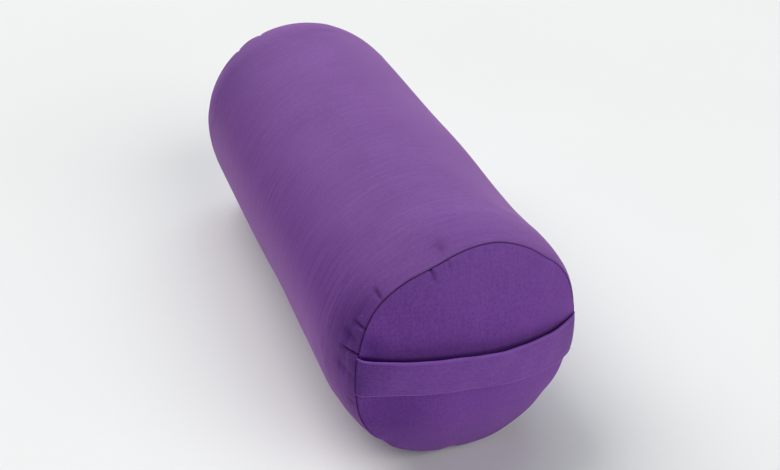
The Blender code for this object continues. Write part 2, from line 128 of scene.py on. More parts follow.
def ring_faces(rows: int, columns: int) -> Array:
    """The faces of a grid of points that closes on itself round its columns.

    Args:
        rows: how many rows of points it has.
        columns: how many points each row has.

    Returns:
        The four point numbers of each face, by row and column.
    """
    index = np.arange(rows * columns).reshape(rows, columns)
    nearer, further = index[:-1], index[1:]
    return np.stack([nearer, further, np.roll(further, -1, 1), np.roll(nearer, -1, 1)], -1)


def set_all(target: object, **values: object) -> object:
    """Sets several properties of one thing.

    Args:
        target: the thing.
        values: its new values, by the properties' names.

    Returns:
        The thing itself.
    """
    for key, value in values.items():
        setattr(target, key, value)
    return target


def deselect() -> None:
    """Leaves nothing selected, so that an operator acts only on what comes next."""
    if bpy.context.mode != "OBJECT":
        bpy.ops.object.mode_set(mode="OBJECT")
    bpy.ops.object.select_all(action="DESELECT")


def activate(obj: Piece) -> None:
    """Makes one object the only selected one and the active one."""
    deselect()
    obj.select_set(True)
    bpy.context.view_layer.objects.active = obj


def link_new(name: str, data: bpy.types.ID) -> Piece:
    """Puts a new object in the scene.

    Args:
        name: its name.
        data: its mesh, curve, lamp or camera.

    Returns:
        The object.
    """
    obj = bpy.data.objects.new(name, data)
    bpy.context.scene.collection.objects.link(obj)
    return obj


def new_piece(name: str, points: Array, faces: Sequence[Sequence[int]]) -> Piece:
    """An object with its place in its mesh.

    Args:
        name: the piece's name.
        points: its points.
        faces: its faces, each a list of point numbers, seen from outside.

    Returns:
        The new object, linked to the scene.
    """
    mesh = bpy.data.meshes.new(name)
    mesh.from_pydata(np.asarray(points, float).tolist(), [], [list(map(int, f)) for f in faces])
    mesh.update()
    return link_new(name, mesh)


def modify(obj: Piece, kind: str, **settings: object) -> bpy.types.Modifier:
    """Gives an object a modifier with its settings."""
    return set_all(obj.modifiers.new(kind.lower(), kind), **settings)


def apply_modifiers(obj: Piece) -> None:
    """Applies an object's modifiers in their order."""
    activate(obj)
    for modifier in list(obj.modifiers):
        bpy.ops.object.modifier_apply(modifier=modifier.name)


def add_wall(obj: Piece, thickness: float) -> None:
    """Gives an open skin a wall on its inner side."""
    modify(obj, "SOLIDIFY", thickness=thickness, offset=-1, use_rim=True)
    apply_modifiers(obj)


def smooth(obj: Piece, angle: float) -> None:
    """Shades an object smoothly, with edges sharper than an angle in degrees kept."""
    activate(obj)
    bpy.ops.object.shade_smooth_by_angle(angle=math.radians(angle))


def points_of(obj: Piece, what: str = "co") -> Array:
    """A mesh's points, or their normals, as rows of three numbers."""
    flat = np.empty(len(obj.data.vertices) * 3)
    obj.data.vertices.foreach_get(what, flat)
    return flat.reshape(-1, 3)


def move_points(obj: Piece, points: Array) -> None:
    """Gives an object's mesh new places for its points."""
    obj.data.vertices.foreach_set("co", np.asarray(points, float).ravel())
    obj.data.update()


def lay_uv(obj: Piece, flat: Array) -> None:
    """Gives a mesh a UV map in metres.

    Args:
        obj: the piece.
        flat: the two flat coordinates of each mesh point.
    """
    layer = obj.data.uv_layers.new(name="cloth")
    index = np.empty(len(obj.data.loops), int)
    obj.data.loops.foreach_get("vertex_index", index)
    layer.data.foreach_set("uv", np.asarray(flat, float)[index].ravel())


def mend_uv_seam(obj: Piece, around: float) -> None:
    """Keeps a face that crosses the start of a round piece from running back over the whole map.

    Args:
        obj: the piece.
        around: the map's whole width.
    """
    layer = obj.data.uv_layers["cloth"]
    uv = np.empty(len(obj.data.loops) * 2)
    layer.data.foreach_get("uv", uv)
    uv = uv.reshape(-1, 2)
    for face in obj.data.polygons:
        across = uv[face.loop_start : face.loop_start + face.loop_total, 0]
        if across.max() - across.min() > around / 2:
            across[across < around / 2] += around
    layer.data.foreach_set("uv", uv.ravel())


def lay_shade(obj: Piece, shade: Array) -> None:
    """Writes down for a cloth's finish how much painted shade each mesh point has, in a gather, a gap or a
    seam.
    """
    layer = obj.data.attributes.new("shade", "FLOAT", "POINT")
    layer.data.foreach_set("value", np.clip(shade, 0, 1).astype(np.float32))


def edit_all(obj: Piece, *steps: Callable[[], object]) -> None:
    """Runs edit-mode steps on the whole of one mesh.

    Args:
        obj: the piece.
        steps: what to run, in order.
    """
    activate(obj)
    bpy.ops.object.mode_set(mode="EDIT")
    bpy.ops.mesh.select_all(action="SELECT")
    for step in steps:
        step()
    bpy.ops.object.mode_set(mode="OBJECT")


def point_outwards(obj: Piece) -> None:
    """Turns every face of a closed mesh outwards."""
    edit_all(obj, lambda: bpy.ops.mesh.normals_make_consistent(inside=False))


def merged_copy(node: str, name: str) -> Piece:
    """A copy of a frame node with its loose triangles joined up.

    Args:
        node: the frame node's name.
        name: the copy's name.

    Returns:
        The copy, with no material.
    """
    obj = link_new(name, bpy.data.objects[node].data.copy())
    obj.data.materials.clear()
    edit_all(
        obj,
        lambda: bpy.ops.mesh.remove_doubles(threshold=1e-6),
        lambda: bpy.ops.mesh.tris_convert_to_quads(face_threshold=0.05, shape_threshold=0.7),
    )
    if obj.data.has_custom_normals:
        bpy.ops.mesh.customdata_custom_splitnormals_clear()
    return obj


def divide_long_edges(obj: Piece, longest: float) -> None:
    """Cuts rows across faces that are too long to bend.

    Args:
        obj: the piece.
        longest: the longest edge that is left whole.
    """
    verts = obj.data.vertices
    lengths = [(verts[e.vertices[0]].co - verts[e.vertices[1]].co).length for e in obj.data.edges]
    if max(lengths) <= longest:
        return
    activate(obj)
    bpy.ops.object.mode_set(mode="EDIT")
    bpy.ops.mesh.select_all(action="DESELECT")
    bpy.ops.mesh.select_mode(type="EDGE")
    bpy.ops.object.mode_set(mode="OBJECT")
    for edge, length in zip(obj.data.edges, lengths):
        edge.select = length > longest
    bpy.ops.object.mode_set(mode="EDIT")
    cuts = max(1, round(max(lengths) / longest) - 1)
    bpy.ops.mesh.subdivide(number_cuts=cuts, quadcorner="INNERVERT")
    bpy.ops.mesh.select_mode(type="VERT")
    bpy.ops.object.mode_set(mode="OBJECT")


# Node graphs


class Wire:
    """A value in a node tree. Sums and products of wires add their Math nodes."""

    def __init__(self, graph: "Graph", socket: bpy.types.NodeSocket) -> None:
        """Holds an output and the graph that it is in."""
        self.graph = graph
        self.socket = socket

    def __add__(self, other: object) -> "Wire":
        """The sum."""
        return self.graph.math("ADD", self, other)

    def __sub__(self, other: object) -> "Wire":
        """The difference."""
        return self.graph.math("SUBTRACT", self, other)

    def __mul__(self, other: object) -> "Wire":
        """The product."""
        return self.graph.math("MULTIPLY", self, other)

    def __truediv__(self, other: object) -> "Wire":
        """The quotient."""
        return self.graph.math("DIVIDE", self, other)

    def __pow__(self, other: float) -> "Wire":
        """The power."""
        return self.graph.math("POWER", self, other)

    def __abs__(self) -> "Wire":
        """The value without its sign."""
        return self.graph.math("ABSOLUTE", self)

    def rest(self) -> "Wire":
        """What is left of 1."""
        return self.graph.math("SUBTRACT", 1.0, self)

    def limited(self) -> "Wire":
        """The value, kept between 0 and 1."""
        return self.graph.math("MINIMUM", self.graph.math("MAXIMUM", self, 0.0), 1.0)


class Graph:
    """Adds and joins nodes in one node tree."""

    def __init__(self, tree: Tree) -> None:
        """Starts work in a tree."""
        self.tree = tree

    def feed(self, socket: bpy.types.NodeSocket, value: object) -> None:
        """Feeds an input.

        Args:
            socket: the input.
            value: a wire, or a value of the input's own kind; a colour has three numbers.
        """
        if isinstance(value, Wire):
            self.tree.links.new(value.socket, socket)
        elif isinstance(value, tuple) and socket.type == "RGBA":
            socket.default_value = (*value, 1)
        else:
            socket.default_value = value

    def add(self, kind: str, feeds: dict | None = None, **settings: object) -> bpy.types.Node:
        """Adds a shader node.

        Args:
            kind: its type, without the first words that all of them share.
            feeds: values or wires for its inputs, by name or number.
            settings: its own properties.

        Returns:
            The node.
        """
        node = set_all(self.tree.nodes.new("ShaderNode" + kind), **settings)
        for key, value in (feeds or {}).items():
            self.feed(node.inputs[key], value)
        return node

    def out(self, kind: str, feeds: dict | None = None, output: int | str = 0, **settings: object) -> Wire:
        """Adds a shader node as add does, and gives one of its outputs."""
        return Wire(self, self.add(kind, feeds, **settings).outputs[output])

    def math(self, operation: str, *operands: object) -> Wire:
        """The result of a Math node."""
        return self.out("Math", dict(enumerate(operands)), operation=operation)

    def ramp(self, value: Wire, start: float, end: float) -> Wire:
        """A smooth ramp from 0 at one value to 1 at another."""
        feeds = {"Value": value, "From Min": start, "From Max": end}
        return self.out("MapRange", feeds, interpolation_type="SMOOTHSTEP")

    def mix(self, share: Wire, first: object, second: object, how: str = "MIX") -> Wire:
        """A colour between two colours, or the first changed by the second in another way."""
        return self.out("Mix", {0: share, 6: first, 7: second}, 2, data_type="RGBA", blend_type=how)

    def vector(self, x: object, y: object, z: object = 0.0) -> Wire:
        """A vector from three values."""
        return self.out("CombineXYZ", {0: x, 1: y, 2: z})

    def split(self, vector: Wire) -> list[Wire]:
        """A vector's three values."""
        return [Wire(self, socket) for socket in self.add("SeparateXYZ", {0: vector}).outputs]

    def noise(self, vector: Wire, scale: float, detail: float, roughness: float = 0.5) -> Wire:
        """The value of a noise texture."""
        feeds = {"Vector": vector, "Scale": scale, "Detail": detail, "Roughness": roughness}
        return self.out("TexNoise", feeds)

    def group(self, tree: Tree, *values: object) -> list[Wire]:
        """Places a shader group, feeds its inputs in their order and gives its outputs."""
        node = self.add("Group", dict(enumerate(values)), node_tree=tree)
        return [Wire(self, socket) for socket in node.outputs]

    def surface(
        self,
        colour: Wire,
        rough: object,
        relief: Wire | None = None,
        strength: float = 1.0,
        **others: object,
    ) -> None:
        """Feeds a material's shader.

        Args:
            colour: its base colour.
            rough: its roughness.
            relief: the height of its relief in millimetres.
            strength: how much of the relief shows.
            others: more of its inputs, with underscores for the spaces in their names.
        """
        feeds = {"Base Color": colour, "Roughness": rough}
        feeds.update((key.replace("_", " "), value) for key, value in others.items())
        if relief is not None:
            feeds["Normal"] = self.out("Bump", {"Height": relief, "Distance": MM, "Strength": strength})
        for key, value in feeds.items():
            self.feed(self.tree.nodes["Principled BSDF"].inputs[key], value)


class GroupGraph(Graph):
    """A shader group in the making: a vector and some amounts go in, and values come out."""

    def __init__(self, name: str, inputs: Sequence[str], outputs: Sequence[str]) -> None:
        """Opens the group.

        Args:
            name: the group's name.
            inputs: the names of its inputs, first the vector and then the amounts.
            outputs: the names of its outputs.
        """
        super().__init__(bpy.data.node_groups.new(name, "ShaderNodeTree"))
        kinds = ["NodeSocketVector"] + ["NodeSocketFloat"] * (len(inputs) - 1)
        for key, kind in zip(inputs, kinds):
            self.tree.interface.new_socket(key, in_out="INPUT", socket_type=kind)
        for key in outputs:
            self.tree.interface.new_socket(key, in_out="OUTPUT", socket_type="NodeSocketFloat")
        entry = self.tree.nodes.new("NodeGroupInput")
        self.given = [Wire(self, entry.outputs[key]) for key in inputs]

    def give(self, *results: Wire) -> Tree:
        """Feeds the group's outputs, in their order, and hands over its tree."""
        for socket, value in zip(self.tree.nodes.new("NodeGroupOutput").inputs, results):
            self.feed(socket, value)
        return self.tree


def make_weave() -> Tree:
    """Threads crossing over and under: their height and the dark gaps between them."""
    g = GroupGraph("cloth_weave", ("Cloth", "Pitch", "Repeat"), ("Height", "Gaps"))
    cloth, pitch, repeat = g.given
    u, v, _ = g.split(cloth)
    across, along = u / pitch, v / pitch
    warp, weft = (abs(g.math("SINE", way * math.pi)) for way in (across, along))
    step = g.math("FLOOR", across) - g.math("FLOOR", along)
    over = g.math("LESS_THAN", g.math("FLOORED_MODULO", step, repeat), repeat - 1.0)
    crossing = over * warp + over.rest() * weft * 0.75
    height = g.math("MAXIMUM", crossing, 0.001) ** 0.6
    return g.give(height, height.rest())


def make_streaks() -> Tree:
    """Slubs: threads a little thicker or paler than the next, in long thin streaks."""
    g = GroupGraph("thread_streaks", ("Cloth", "Length", "Width"), ("Value",))
    cloth, length, width = g.given
    u, v, _ = g.split(cloth)
    drift = g.noise(cloth, 9, 1) * 0.006
    return g.give(g.noise(g.vector(u / length, (v + drift) / width), 1, 3, 0.6))


def make_clouds() -> Tree:
    """Broad soft patches where dye and handling differ."""
    g = GroupGraph("soft_clouds", ("Place", "Size"), ("Value",))
    place, size = g.given
    return g.give(g.noise(g.vector(*(way / size for way in g.split(place))), 1, 3, 0.55))


def make_lint() -> Tree:
    """Loose pale fibres lying on a cloth."""
    g = GroupGraph("loose_lint", ("Place", "Amount"), ("Mask",))
    place, amount = g.given
    x, y, z = g.split(place)
    bent = g.noise(place, 90, 2) * 0.004
    fine = (g.noise(g.vector(x + bent, y - bent, z), 900, 1) - 0.66) * 9
    patchy = (g.noise(place, 160, 0) - 0.55) * 6
    mask = g.math("MAXIMUM", fine, 0.0) * g.math("MAXIMUM", patchy, 0.0)
    return g.give(g.math("MINIMUM", mask * amount, 1.0))


@dataclass(frozen=True)
class Effects:
    """The shader groups that several finishes share, each built once."""

    weave: Tree = field(default_factory=make_weave)
    streaks: Tree = field(default_factory=make_streaks)
    clouds: Tree = field(default_factory=make_clouds)
    lint: Tree = field(default_factory=make_lint)


# Finishes


class Weave(Enum):
    """How many threads a weave's repeat has."""

    PLAIN = 2.0
    TWILL = 3.0


class Run(Enum):
    """Which way of a piece's own map its heavier threads run."""

    ALONG_U = "u"
    ALONG_V = "v"


def times(share: float, colour: Colour) -> Colour:
    """A colour made brighter or darker."""
    return tuple(share * c for c in colour)


@dataclass(frozen=True)
class Finish:
    """A finish with a name. Each kind of finish has its own way to dress a material's graph."""

    name: str

    def make(self, effects: Effects) -> bpy.types.Material:
        """Builds the material.

        Args:
            effects: the shared shader groups.

        Returns:
            The material.
        """
        material = bpy.data.materials.new(self.name)
        material.use_nodes = True
        g = Graph(material.node_tree)
        self.dress(g, g.out("TexCoord", output="Object"), effects)
        return material

    def dress(self, g: Graph, place: Wire, effects: Effects) -> None:
        """Feeds the material's shader.

        Args:
            g: the material's graph.
            place: the place on the piece.
            effects: the shared shader groups.
        """
        raise NotImplementedError


@dataclass(frozen=True)
class ClothFinish(Finish):
    """A woven cloth: its dye, threads, streaks and sheen, its painted light and shade, and its paler folded
    edges.
    """

    deep: Colour
    pale: Colour
    pitch: float = 0.55 * MM
    weave: Weave = Weave.TWILL
    run: Run = Run.ALONG_U
    slub: Pair = (0.032, 1.3 * MM)
    streak_share: float = 0.75
    rib: Pair = (0.16, 2.6 * MM)
    rib_share: float = 0.42
    cloud_size: float = 0.085
    cloud_share: float = 0.5
    mottle_size: float = 2.4 * MM
    mottle_share: float = 0.7
    low_rib: Pair = (0.09, 4.6 * MM)
    low_rib_share: float = 0.0
    low_rib_heights: Pair = (0.225, 0.165)
    gap_share: float = 0.45
    gap_darkness: float = 0.45
    gap_roughness: float = 0.08
    weave_height: float = 0.07
    slub_height: float = 0.05
    rib_height: float = 0.10
    roughness: float = 0.81
    specular: float = 0.12
    sheen: float = 0.07
    sheen_roughness: float = 0.4
    sheen_tint: Colour = (1.0, 0.75, 1.0)
    lint: float = 0.35
    lint_share: float = 0.4
    # Painted sheen: a paler, pinker colour mixed in where the cloth is seen edge-on
    painted_sheen: Colour = (0.38, 0.175, 0.46)
    painted_sheen_share: float = 0.62
    painted_sheen_power: float = 3.5
    band_half_width: float = 0.0
    band: float = 2.2 * MM
    band_share: float = 0.55
    band_gain: float = 1.35
    # Painted shade: the dye darker and more saturated low on the sides and beside the end seams
    low_painted_shade: Colour | None = None
    low_painted_shade_heights: Pair = (0.237, 0.165)
    seam_painted_shade_ends: Pair = (0.205, 0.268)
    seam_painted_shade_share: float = 0.15
    # Painted light: the dye paler low down and away from the seams, as light thrown up from the floor makes
    # it
    rubbed_and_bounce_lit: Colour | None = None
    bounce_light_heights: Pair = (0.175, 0.110)
    bounce_light_ends: Pair = (0.262, 0.205)
    bounce_light_share: float = 0.36
    # The colour of the painted shade
    shade: Colour | None = None

    def dress(self, g: Graph, place: Wire, effects: Effects) -> None:
        """Feeds the material's shader, as Finish says."""
        cloth = g.out("UVMap", uv_map="cloth")
        u, v, _ = g.split(cloth)
        height = g.split(place)[2]
        lines = cloth if self.run is Run.ALONG_U else g.vector(v, u)
        threads, gaps = g.group(effects.weave, cloth, self.pitch, self.weave.value)
        fine = g.group(effects.streaks, lines, *self.slub)[0]
        ribs = g.group(effects.streaks, lines, *self.rib)[0]
        tones = [(fine, self.streak_share), (ribs, self.rib_share)]
        for size, weight in ((self.cloud_size, self.cloud_share), (self.mottle_size, self.mottle_share)):
            tones.append((g.group(effects.clouds, place, size)[0], weight))
        if self.low_rib_share:
            broad = g.group(effects.streaks, lines, *self.low_rib)[0]
            tones.append((broad, g.ramp(height, *self.low_rib_heights) * self.low_rib_share))
        share: object = 0.5
        for value, weight in tones:
            share = (value - 0.5) * (weight * 2) + share
        colour = g.mix(share.limited(), self.deep, self.pale)
        colour = g.mix(gaps * self.gap_share, colour, times(self.gap_darkness, self.deep))
        # Painted shade and painted floor light, and the strap's paler edges
        colour = self.paint_light_and_edges(g, height, v, colour)
        # Painted sheen: the colour turns paler and pinker where the cloth is seen edge-on
        edge_on = g.out("LayerWeight", {"Blend": 0.5}, "Facing")
        colour = g.mix(edge_on**self.painted_sheen_power * self.painted_sheen_share, colour, self.painted_sheen)
        fluff = tuple(min(1.0, 0.35 + c) for c in times(1.2, self.pale))
        lint = g.group(effects.lint, place, self.lint)[0]
        colour = g.mix(lint * self.lint_share, colour, fluff)
        g.surface(
            colour,
            gaps * self.gap_roughness + self.roughness,
            threads * self.weave_height + fine * self.slub_height + ribs * self.rib_height,
            Specular_IOR_Level=self.specular,
            Sheen_Weight=self.sheen,
            Sheen_Roughness=self.sheen_roughness,
            Sheen_Tint=self.sheen_tint,
        )

    def paint_light_and_edges(self, g: Graph, height: Wire, across: Wire, colour: Wire) -> Wire:
        """Paints shade low on the sides, beside the end seams and where the shade attribute says, paints
        floor light low down, and makes the strap's folded edges paler.
            height: the place's height over the floor.
            across: the place's own second coordinate on the cloth's map.
            colour: the dye's colour.

        Returns:
            The changed colour.
        """
        off_middle = abs(across)
        # Painted shade: darker low on the sides and beside the end seams
        if self.low_painted_shade:
            beside = g.ramp(off_middle, *self.seam_painted_shade_ends) * self.seam_painted_shade_share
            deeper = g.math("MAXIMUM", g.ramp(height, *self.low_painted_shade_heights), beside)
            colour = g.mix(deeper, colour, self.low_painted_shade, "MULTIPLY")
        # Painted light: paler low down, as light thrown up from the floor makes it
        if self.rubbed_and_bounce_lit:
            lowest = g.ramp(height, *self.bounce_light_heights) * g.ramp(off_middle, *self.bounce_light_ends)
            colour = g.mix(lowest * self.bounce_light_share, colour, self.rubbed_and_bounce_lit)
        # Painted shade: the shade attribute darkens seams, gathers, folds and the gap behind the strap
        if self.shade:
            shade = g.out("Attribute", output="Fac", attribute_name="shade")
            colour = g.mix(shade, colour, self.shade, "MULTIPLY")
        # The strap's folded edges are paler
        if self.band_half_width:
            near_edge = (off_middle - (self.band_half_width - self.band)) / self.band
            colour = g.mix(near_edge.limited() * self.band_share, colour, times(self.band_gain, self.pale))
        return colour


@dataclass(frozen=True)
class WaddingFinish(Finish):
    """Carded cotton: soft, matt and full of fine fibres."""

    deep: Colour = (0.62, 0.57, 0.47)
    pale: Colour = (0.82, 0.79, 0.71)
    seed: Colour = (0.30, 0.22, 0.13)
    fluff: Colour = (0.9, 0.88, 0.82)

    def dress(self, g: Graph, place: Wire, effects: Effects) -> None:
        """Feeds the material's shader, as Finish says."""
        cloud = g.group(effects.clouds, place, 0.03)[0]
        x, y, z = g.split(place)
        fibres = g.noise(g.vector(x, y * 0.2, z), 700, 4, 0.65)
        colour = g.mix(fibres * 0.6 + cloud * 0.5, self.deep, self.pale)
        seeds = g.math("GREATER_THAN", g.noise(place, 420, 0), 0.78)
        colour = g.mix(seeds * 0.5, colour, self.seed)
        colour = g.mix(g.group(effects.lint, place, 1.2)[0], colour, self.fluff)
        relief = cloud * 1.2 + fibres * 0.5
        g.surface(colour, 0.95, relief, strength=0.8, Sheen_Weight=0.5, Specular_IOR_Level=0.15)


@dataclass(frozen=True)
class MetalFinish(Finish):
    """Die-cast metal with a dull plated skin, rubbed brighter in places."""

    colour: Colour = (0.56, 0.56, 0.58)
    rubbed_and_bounce_lit: Colour = (0.78, 0.77, 0.76)

    def dress(self, g: Graph, place: Wire, effects: Effects) -> None:
        """Feeds the material's shader, as Finish says."""
        cloud = g.group(effects.clouds, place, 0.004)[0]
        grain = g.noise(place, 2600, 3, 0.6)
        x, y, z = g.split(place)
        scratched = g.math("GREATER_THAN", g.noise(g.vector(x * 9, y, z * 9), 900, 1), 0.66)
        colour = g.mix(scratched * 0.35 + cloud * 0.8, self.colour, self.rubbed_and_bounce_lit)
        rough = grain * 0.16 + cloud * 0.12 + 0.24
        g.surface(colour, rough, scratched * -0.004 + grain * 0.01, Metallic=1.0)


@dataclass(frozen=True)
class ThreadFinish(Finish):
    """Twisted sewing thread or dyed nylon filament."""

    colour: Colour
    roughness: float = 0.48
    sheen: float = 0.08

    def dress(self, g: Graph, place: Wire, effects: Effects) -> None:
        """Feeds the material's shader, as Finish says."""
        cloud = g.group(effects.clouds, place, 0.012)[0]
        fine = g.noise(place, 3200, 2)
        colour = g.mix(fine * 0.5 + cloud * 0.6, self.colour, times(1.5, self.colour))
        g.surface(colour, fine * 0.14 + self.roughness, fine * 0.03, Sheen_Weight=self.sheen)


@dataclass(frozen=True)
class FloorFinish(Finish):
    """Pale seamless paper."""

    deep: Colour = (0.80, 0.80, 0.79)
    pale: Colour = (0.83, 0.83, 0.82)

    def dress(self, g: Graph, place: Wire, effects: Effects) -> None:
        """Feeds the material's shader, as Finish says."""
        g.surface(g.mix(g.noise(place, 2.5, 2), self.deep, self.pale), 0.75, Specular_IOR_Level=0.2)


@dataclass(frozen=True)
class Finishes:
    """Every finish of the bolster."""

    body: ClothFinish = ClothFinish(
        "body_twill",
        deep=(0.174, 0.067, 0.277),
        pale=(0.250, 0.110, 0.382),
        streak_share=0.6,
        mottle_share=0.5,
        # Painted shade, darker low on the sides and beside the seams
        low_painted_shade=(0.76, 0.50, 0.85),
        # Painted floor light, paler low down
        rubbed_and_bounce_lit=(0.35, 0.16, 0.46),
        low_rib_share=1.5,
        shade=(0.19, 0.06, 0.37),
    )
    end: ClothFinish = ClothFinish(
        "end_panel_twill",
        deep=(0.155, 0.053, 0.288),
        pale=(0.221, 0.087, 0.386),
        # Painted shade, darker low down and beside the seams
        low_painted_shade=(0.95, 0.82, 0.97),
        run=Run.ALONG_V,
        streak_share=0.5,
        mottle_share=0.9,
        rib_share=0.12,
        cloud_share=0.65,
        rib_height=0.03,
        shade=(0.19, 0.06, 0.37),
    )
    strap: ClothFinish = ClothFinish(
        "carry_strap_twill",
        deep=(0.152, 0.049, 0.286),
        pale=(0.217, 0.080, 0.383),
        mottle_share=0.9,
        rib_share=0.2,
        rib_height=0.04,
        band_half_width=0.0206,
        shade=(0.19, 0.06, 0.37),
    )
    tape: ClothFinish = ClothFinish(
        "zip_tape_weave",
        deep=(0.085, 0.034, 0.155),
        pale=(0.135, 0.058, 0.235),
        pitch=0.4 * MM,
        run=Run.ALONG_V,
        rib_share=0.1,
        rib_height=0.02,
    )
    muslin: ClothFinish = ClothFinish(
        "liner_muslin",
        deep=(0.60, 0.55, 0.45),
        pale=(0.76, 0.72, 0.63),
        pitch=0.8 * MM,
        weave=Weave.PLAIN,
        sheen_tint=(1.0, 0.98, 0.94),
        # Painted sheen where the muslin is seen edge-on
        painted_sheen=(0.82, 0.80, 0.74),
    )
    wadding: WaddingFinish = WaddingFinish("cotton_wadding")
    metal: MetalFinish = MetalFinish("plated_zinc")
    nylon: ThreadFinish = ThreadFinish("coil_nylon", (0.085, 0.034, 0.16), roughness=0.28, sheen=0.1)
    thread: ThreadFinish = ThreadFinish("sewing_thread", (0.15, 0.055, 0.27))


# The stuffed form


@dataclass(frozen=True)
class Patch:
    """A rise or a dip of the cloth, or a painted shade on it, at one place; it fades over its reach.

    Its angle and its reach round the bolster are in degrees. With no reach it runs on along the cloth.
    """

    angle: float
    turn_reach: float
    height: float
    place: float = 0.0
    reach: float = math.inf

    def at(self, angle: Array, place: Array | float = 0.0) -> Array:
        """Its height at an angle in radians and a place along the cloth."""
        turned = turn_between(angle, math.radians(self.angle))
        round_it = self.height * bump(turned, math.radians(self.turn_reach))
        return round_it * bump(place - self.place, self.reach)


def total(patches: Sequence[Patch], angle: Array, place: Array | float = 0.0) -> Array:
    """The height of all patches together."""
    return sum(patch.at(angle, place) for patch in patches)


@dataclass(frozen=True)
class BolsterForm:
    """The stuffed drum: its nominal sizes, and how filling, floor and sewing shift its outer face."""

    body_radius: float = 0.127
    seam_radius: float = 0.1172
    seam_half: float = 0.2775
    crown: float = 0.028
    crown_power: float = 2.2
    straight_half: float = 0.2225
    shoulder_stop: float = math.radians(35)
    axis_height: float = 0.120
    seam_turn: float = 0.0022
    seam_half_gap: float = 0.00022
    allowance: float = 0.009
    turn_steps: int = 39
    hem_steps: int = 11
    zip_angle: float = math.radians(9)
    slit_half_width: float = 0.006
    slit_half_length: float = 0.2225
    zip_stiffness: Pair = (0.016, 0.048)
    fullness: float = 0.0088
    waist: float = -0.0097
    waist_place: float = 0.060
    waist_reach: float = 0.050
    settled_oval: float = 0.01
    floor_softness: float = 0.003
    lean_sideways: float = 0.0082
    lean_up: float = 0.00445
    lean_start: float = 0.229
    lean_from: float = 0.6
    lean_ripples: tuple[tuple[int, float, float], ...] = ((2, 0.0002, 0.0002), (3, 0.0013, 0.0011))
    swells: tuple[Patch, ...] = (
        Patch(46, 30, -8.6 * MM, -0.140, 0.090),
        Patch(50, 30, -3.4 * MM, 0.050, 0.100),
        Patch(200, 30, 2.2 * MM, -0.208, 0.030),
        Patch(200, 30, -1.8 * MM, -0.060, 0.070),
    )
    front_seam_drifts: tuple[Patch, ...] = (
        Patch(28, 9, -1.7 * MM),
        Patch(49, 8, 2.2 * MM),
        Patch(77, 11, -1.9 * MM),
        Patch(109, 13, 3.9 * MM),
        Patch(141, 12, -2.0 * MM),
        Patch(177, 19, 4.3 * MM),
    )
    drift_reach: float = 0.024
    drift_power: float = 1.6
    rear_seam_hills: tuple[Patch, ...] = (
        Patch(112.0, 2.2, -1.0 * MM),
        Patch(120.0, 5.0, 1.0 * MM),
        Patch(128.5, 2.2, -1.0 * MM),
    )
    front_seam_hills: tuple[Patch, ...] = (
        Patch(222, 4.5, -2.2 * MM),
        Patch(262, 4.5, -2.4 * MM),
        Patch(285, 9.0, 1.5 * MM),
        Patch(317, 6.0, -1.9 * MM),
        Patch(337, 4.0, -1.1 * MM),
    )
    hill_reach: float = 0.010

    def around_from_zip(self, angle: Array) -> Array:
        """The distance round the barrel from the zip's middle line."""
        return np.abs(turn_between(angle, self.zip_angle)) * self.body_radius

    def fitted_point(self, angle: Array, radius: Array, y: Array) -> Array:
        """A point of the outer skin, on the stuffed bolster as it lies.

        Args:
            angle: angle round the axis.
            radius: nominal distance from the axis.
            y: nominal place along the axis.

        Returns:
            Points as rows of three numbers.
        """
        clear = ease(*self.zip_stiffness, self.around_from_zip(angle))
        radius, y = self.sewn(angle, radius, y)
        along = np.clip(y / self.seam_half, -1, 1)
        drawn_in = self.waist * bump(y + self.seam_half - self.waist_place, self.waist_reach)
        gain = self.fullness * (1 - along**2) + drawn_in
        gain = gain + total(self.swells, angle, y) / self.body_radius
        x = radius * np.cos(angle) * (1 + (gain + self.settled_oval) * clear)
        height = self.axis_height + radius * np.sin(angle) * (1 + (gain - self.settled_oval) * clear)
        height = (height + np.sqrt(height**2 + self.floor_softness**2)) / 2
        return np.stack([x, y + self.lean(angle, radius, y, clear), height], -1)

    def sewn(self, angle: Array, radius: Array, y: Array) -> tuple[Array, Array]:
        """Lets the end seams wander: along the shoulder's slope, and in or out where they are gathered.

        Args:
            angle: angle round the axis.
            radius: nominal distance from the axis.
            y: nominal place along the axis.

        Returns:
            The moved radius and y.
        """
        from_front = np.hypot(radius - self.seam_radius, y + self.seam_half)
        from_rear = np.hypot(radius - self.seam_radius, y - self.seam_half)
        slide = total(self.front_seam_drifts, angle)
        slide = slide * np.exp(-((from_front / self.drift_reach) ** self.drift_power))
        front = total(self.front_seam_hills, angle) * bump(from_front, self.hill_reach)
        raised = front + total(self.rear_seam_hills, angle) * bump(from_rear, self.hill_reach)
        slope = self.shoulder_stop
        return radius - slide * math.sin(slope) + raised, y - slide * math.cos(slope)

    def lean(self, angle: Array, radius: Array, y: Array, clear: Array) -> Array:
        """How far the front end leans along the axis, none of it beside the zip's own length.

        Args:
            angle: angle round the axis.
            radius: distance from the axis.
            y: place along the axis.
            clear: from 0 beside the zip to 1 away from it.

        Returns:
            The move along the axis.
        """
        wave = self.lean_sideways * np.cos(angle) + self.lean_up * np.sin(angle)
        for count, cosine, sine in self.lean_ripples:
            wave = wave + cosine * np.cos(count * angle) + sine * np.sin(count * angle)
        gradual = np.clip((-y / self.seam_half - self.lean_from) / (1 - self.lean_from), 0, 1)
        late = np.clip((-y - self.lean_start) / (self.seam_half - self.lean_start), 0, 1)
        weight = late + (gradual - late) * clear
        return weight * wave * np.minimum(1, radius / self.seam_radius)

    def carry(self, points: Array) -> Array:
        """Moves loose points near the skin, such as the strap's, as the skin there moves.

        Args:
            points: nominal points.

        Returns:
            The moved points.
        """
        height = points[..., 2] - self.axis_height
        angle = np.arctan2(height, points[..., 0])
        return self.fitted_point(angle, np.hypot(height, points[..., 0]), points[..., 1])

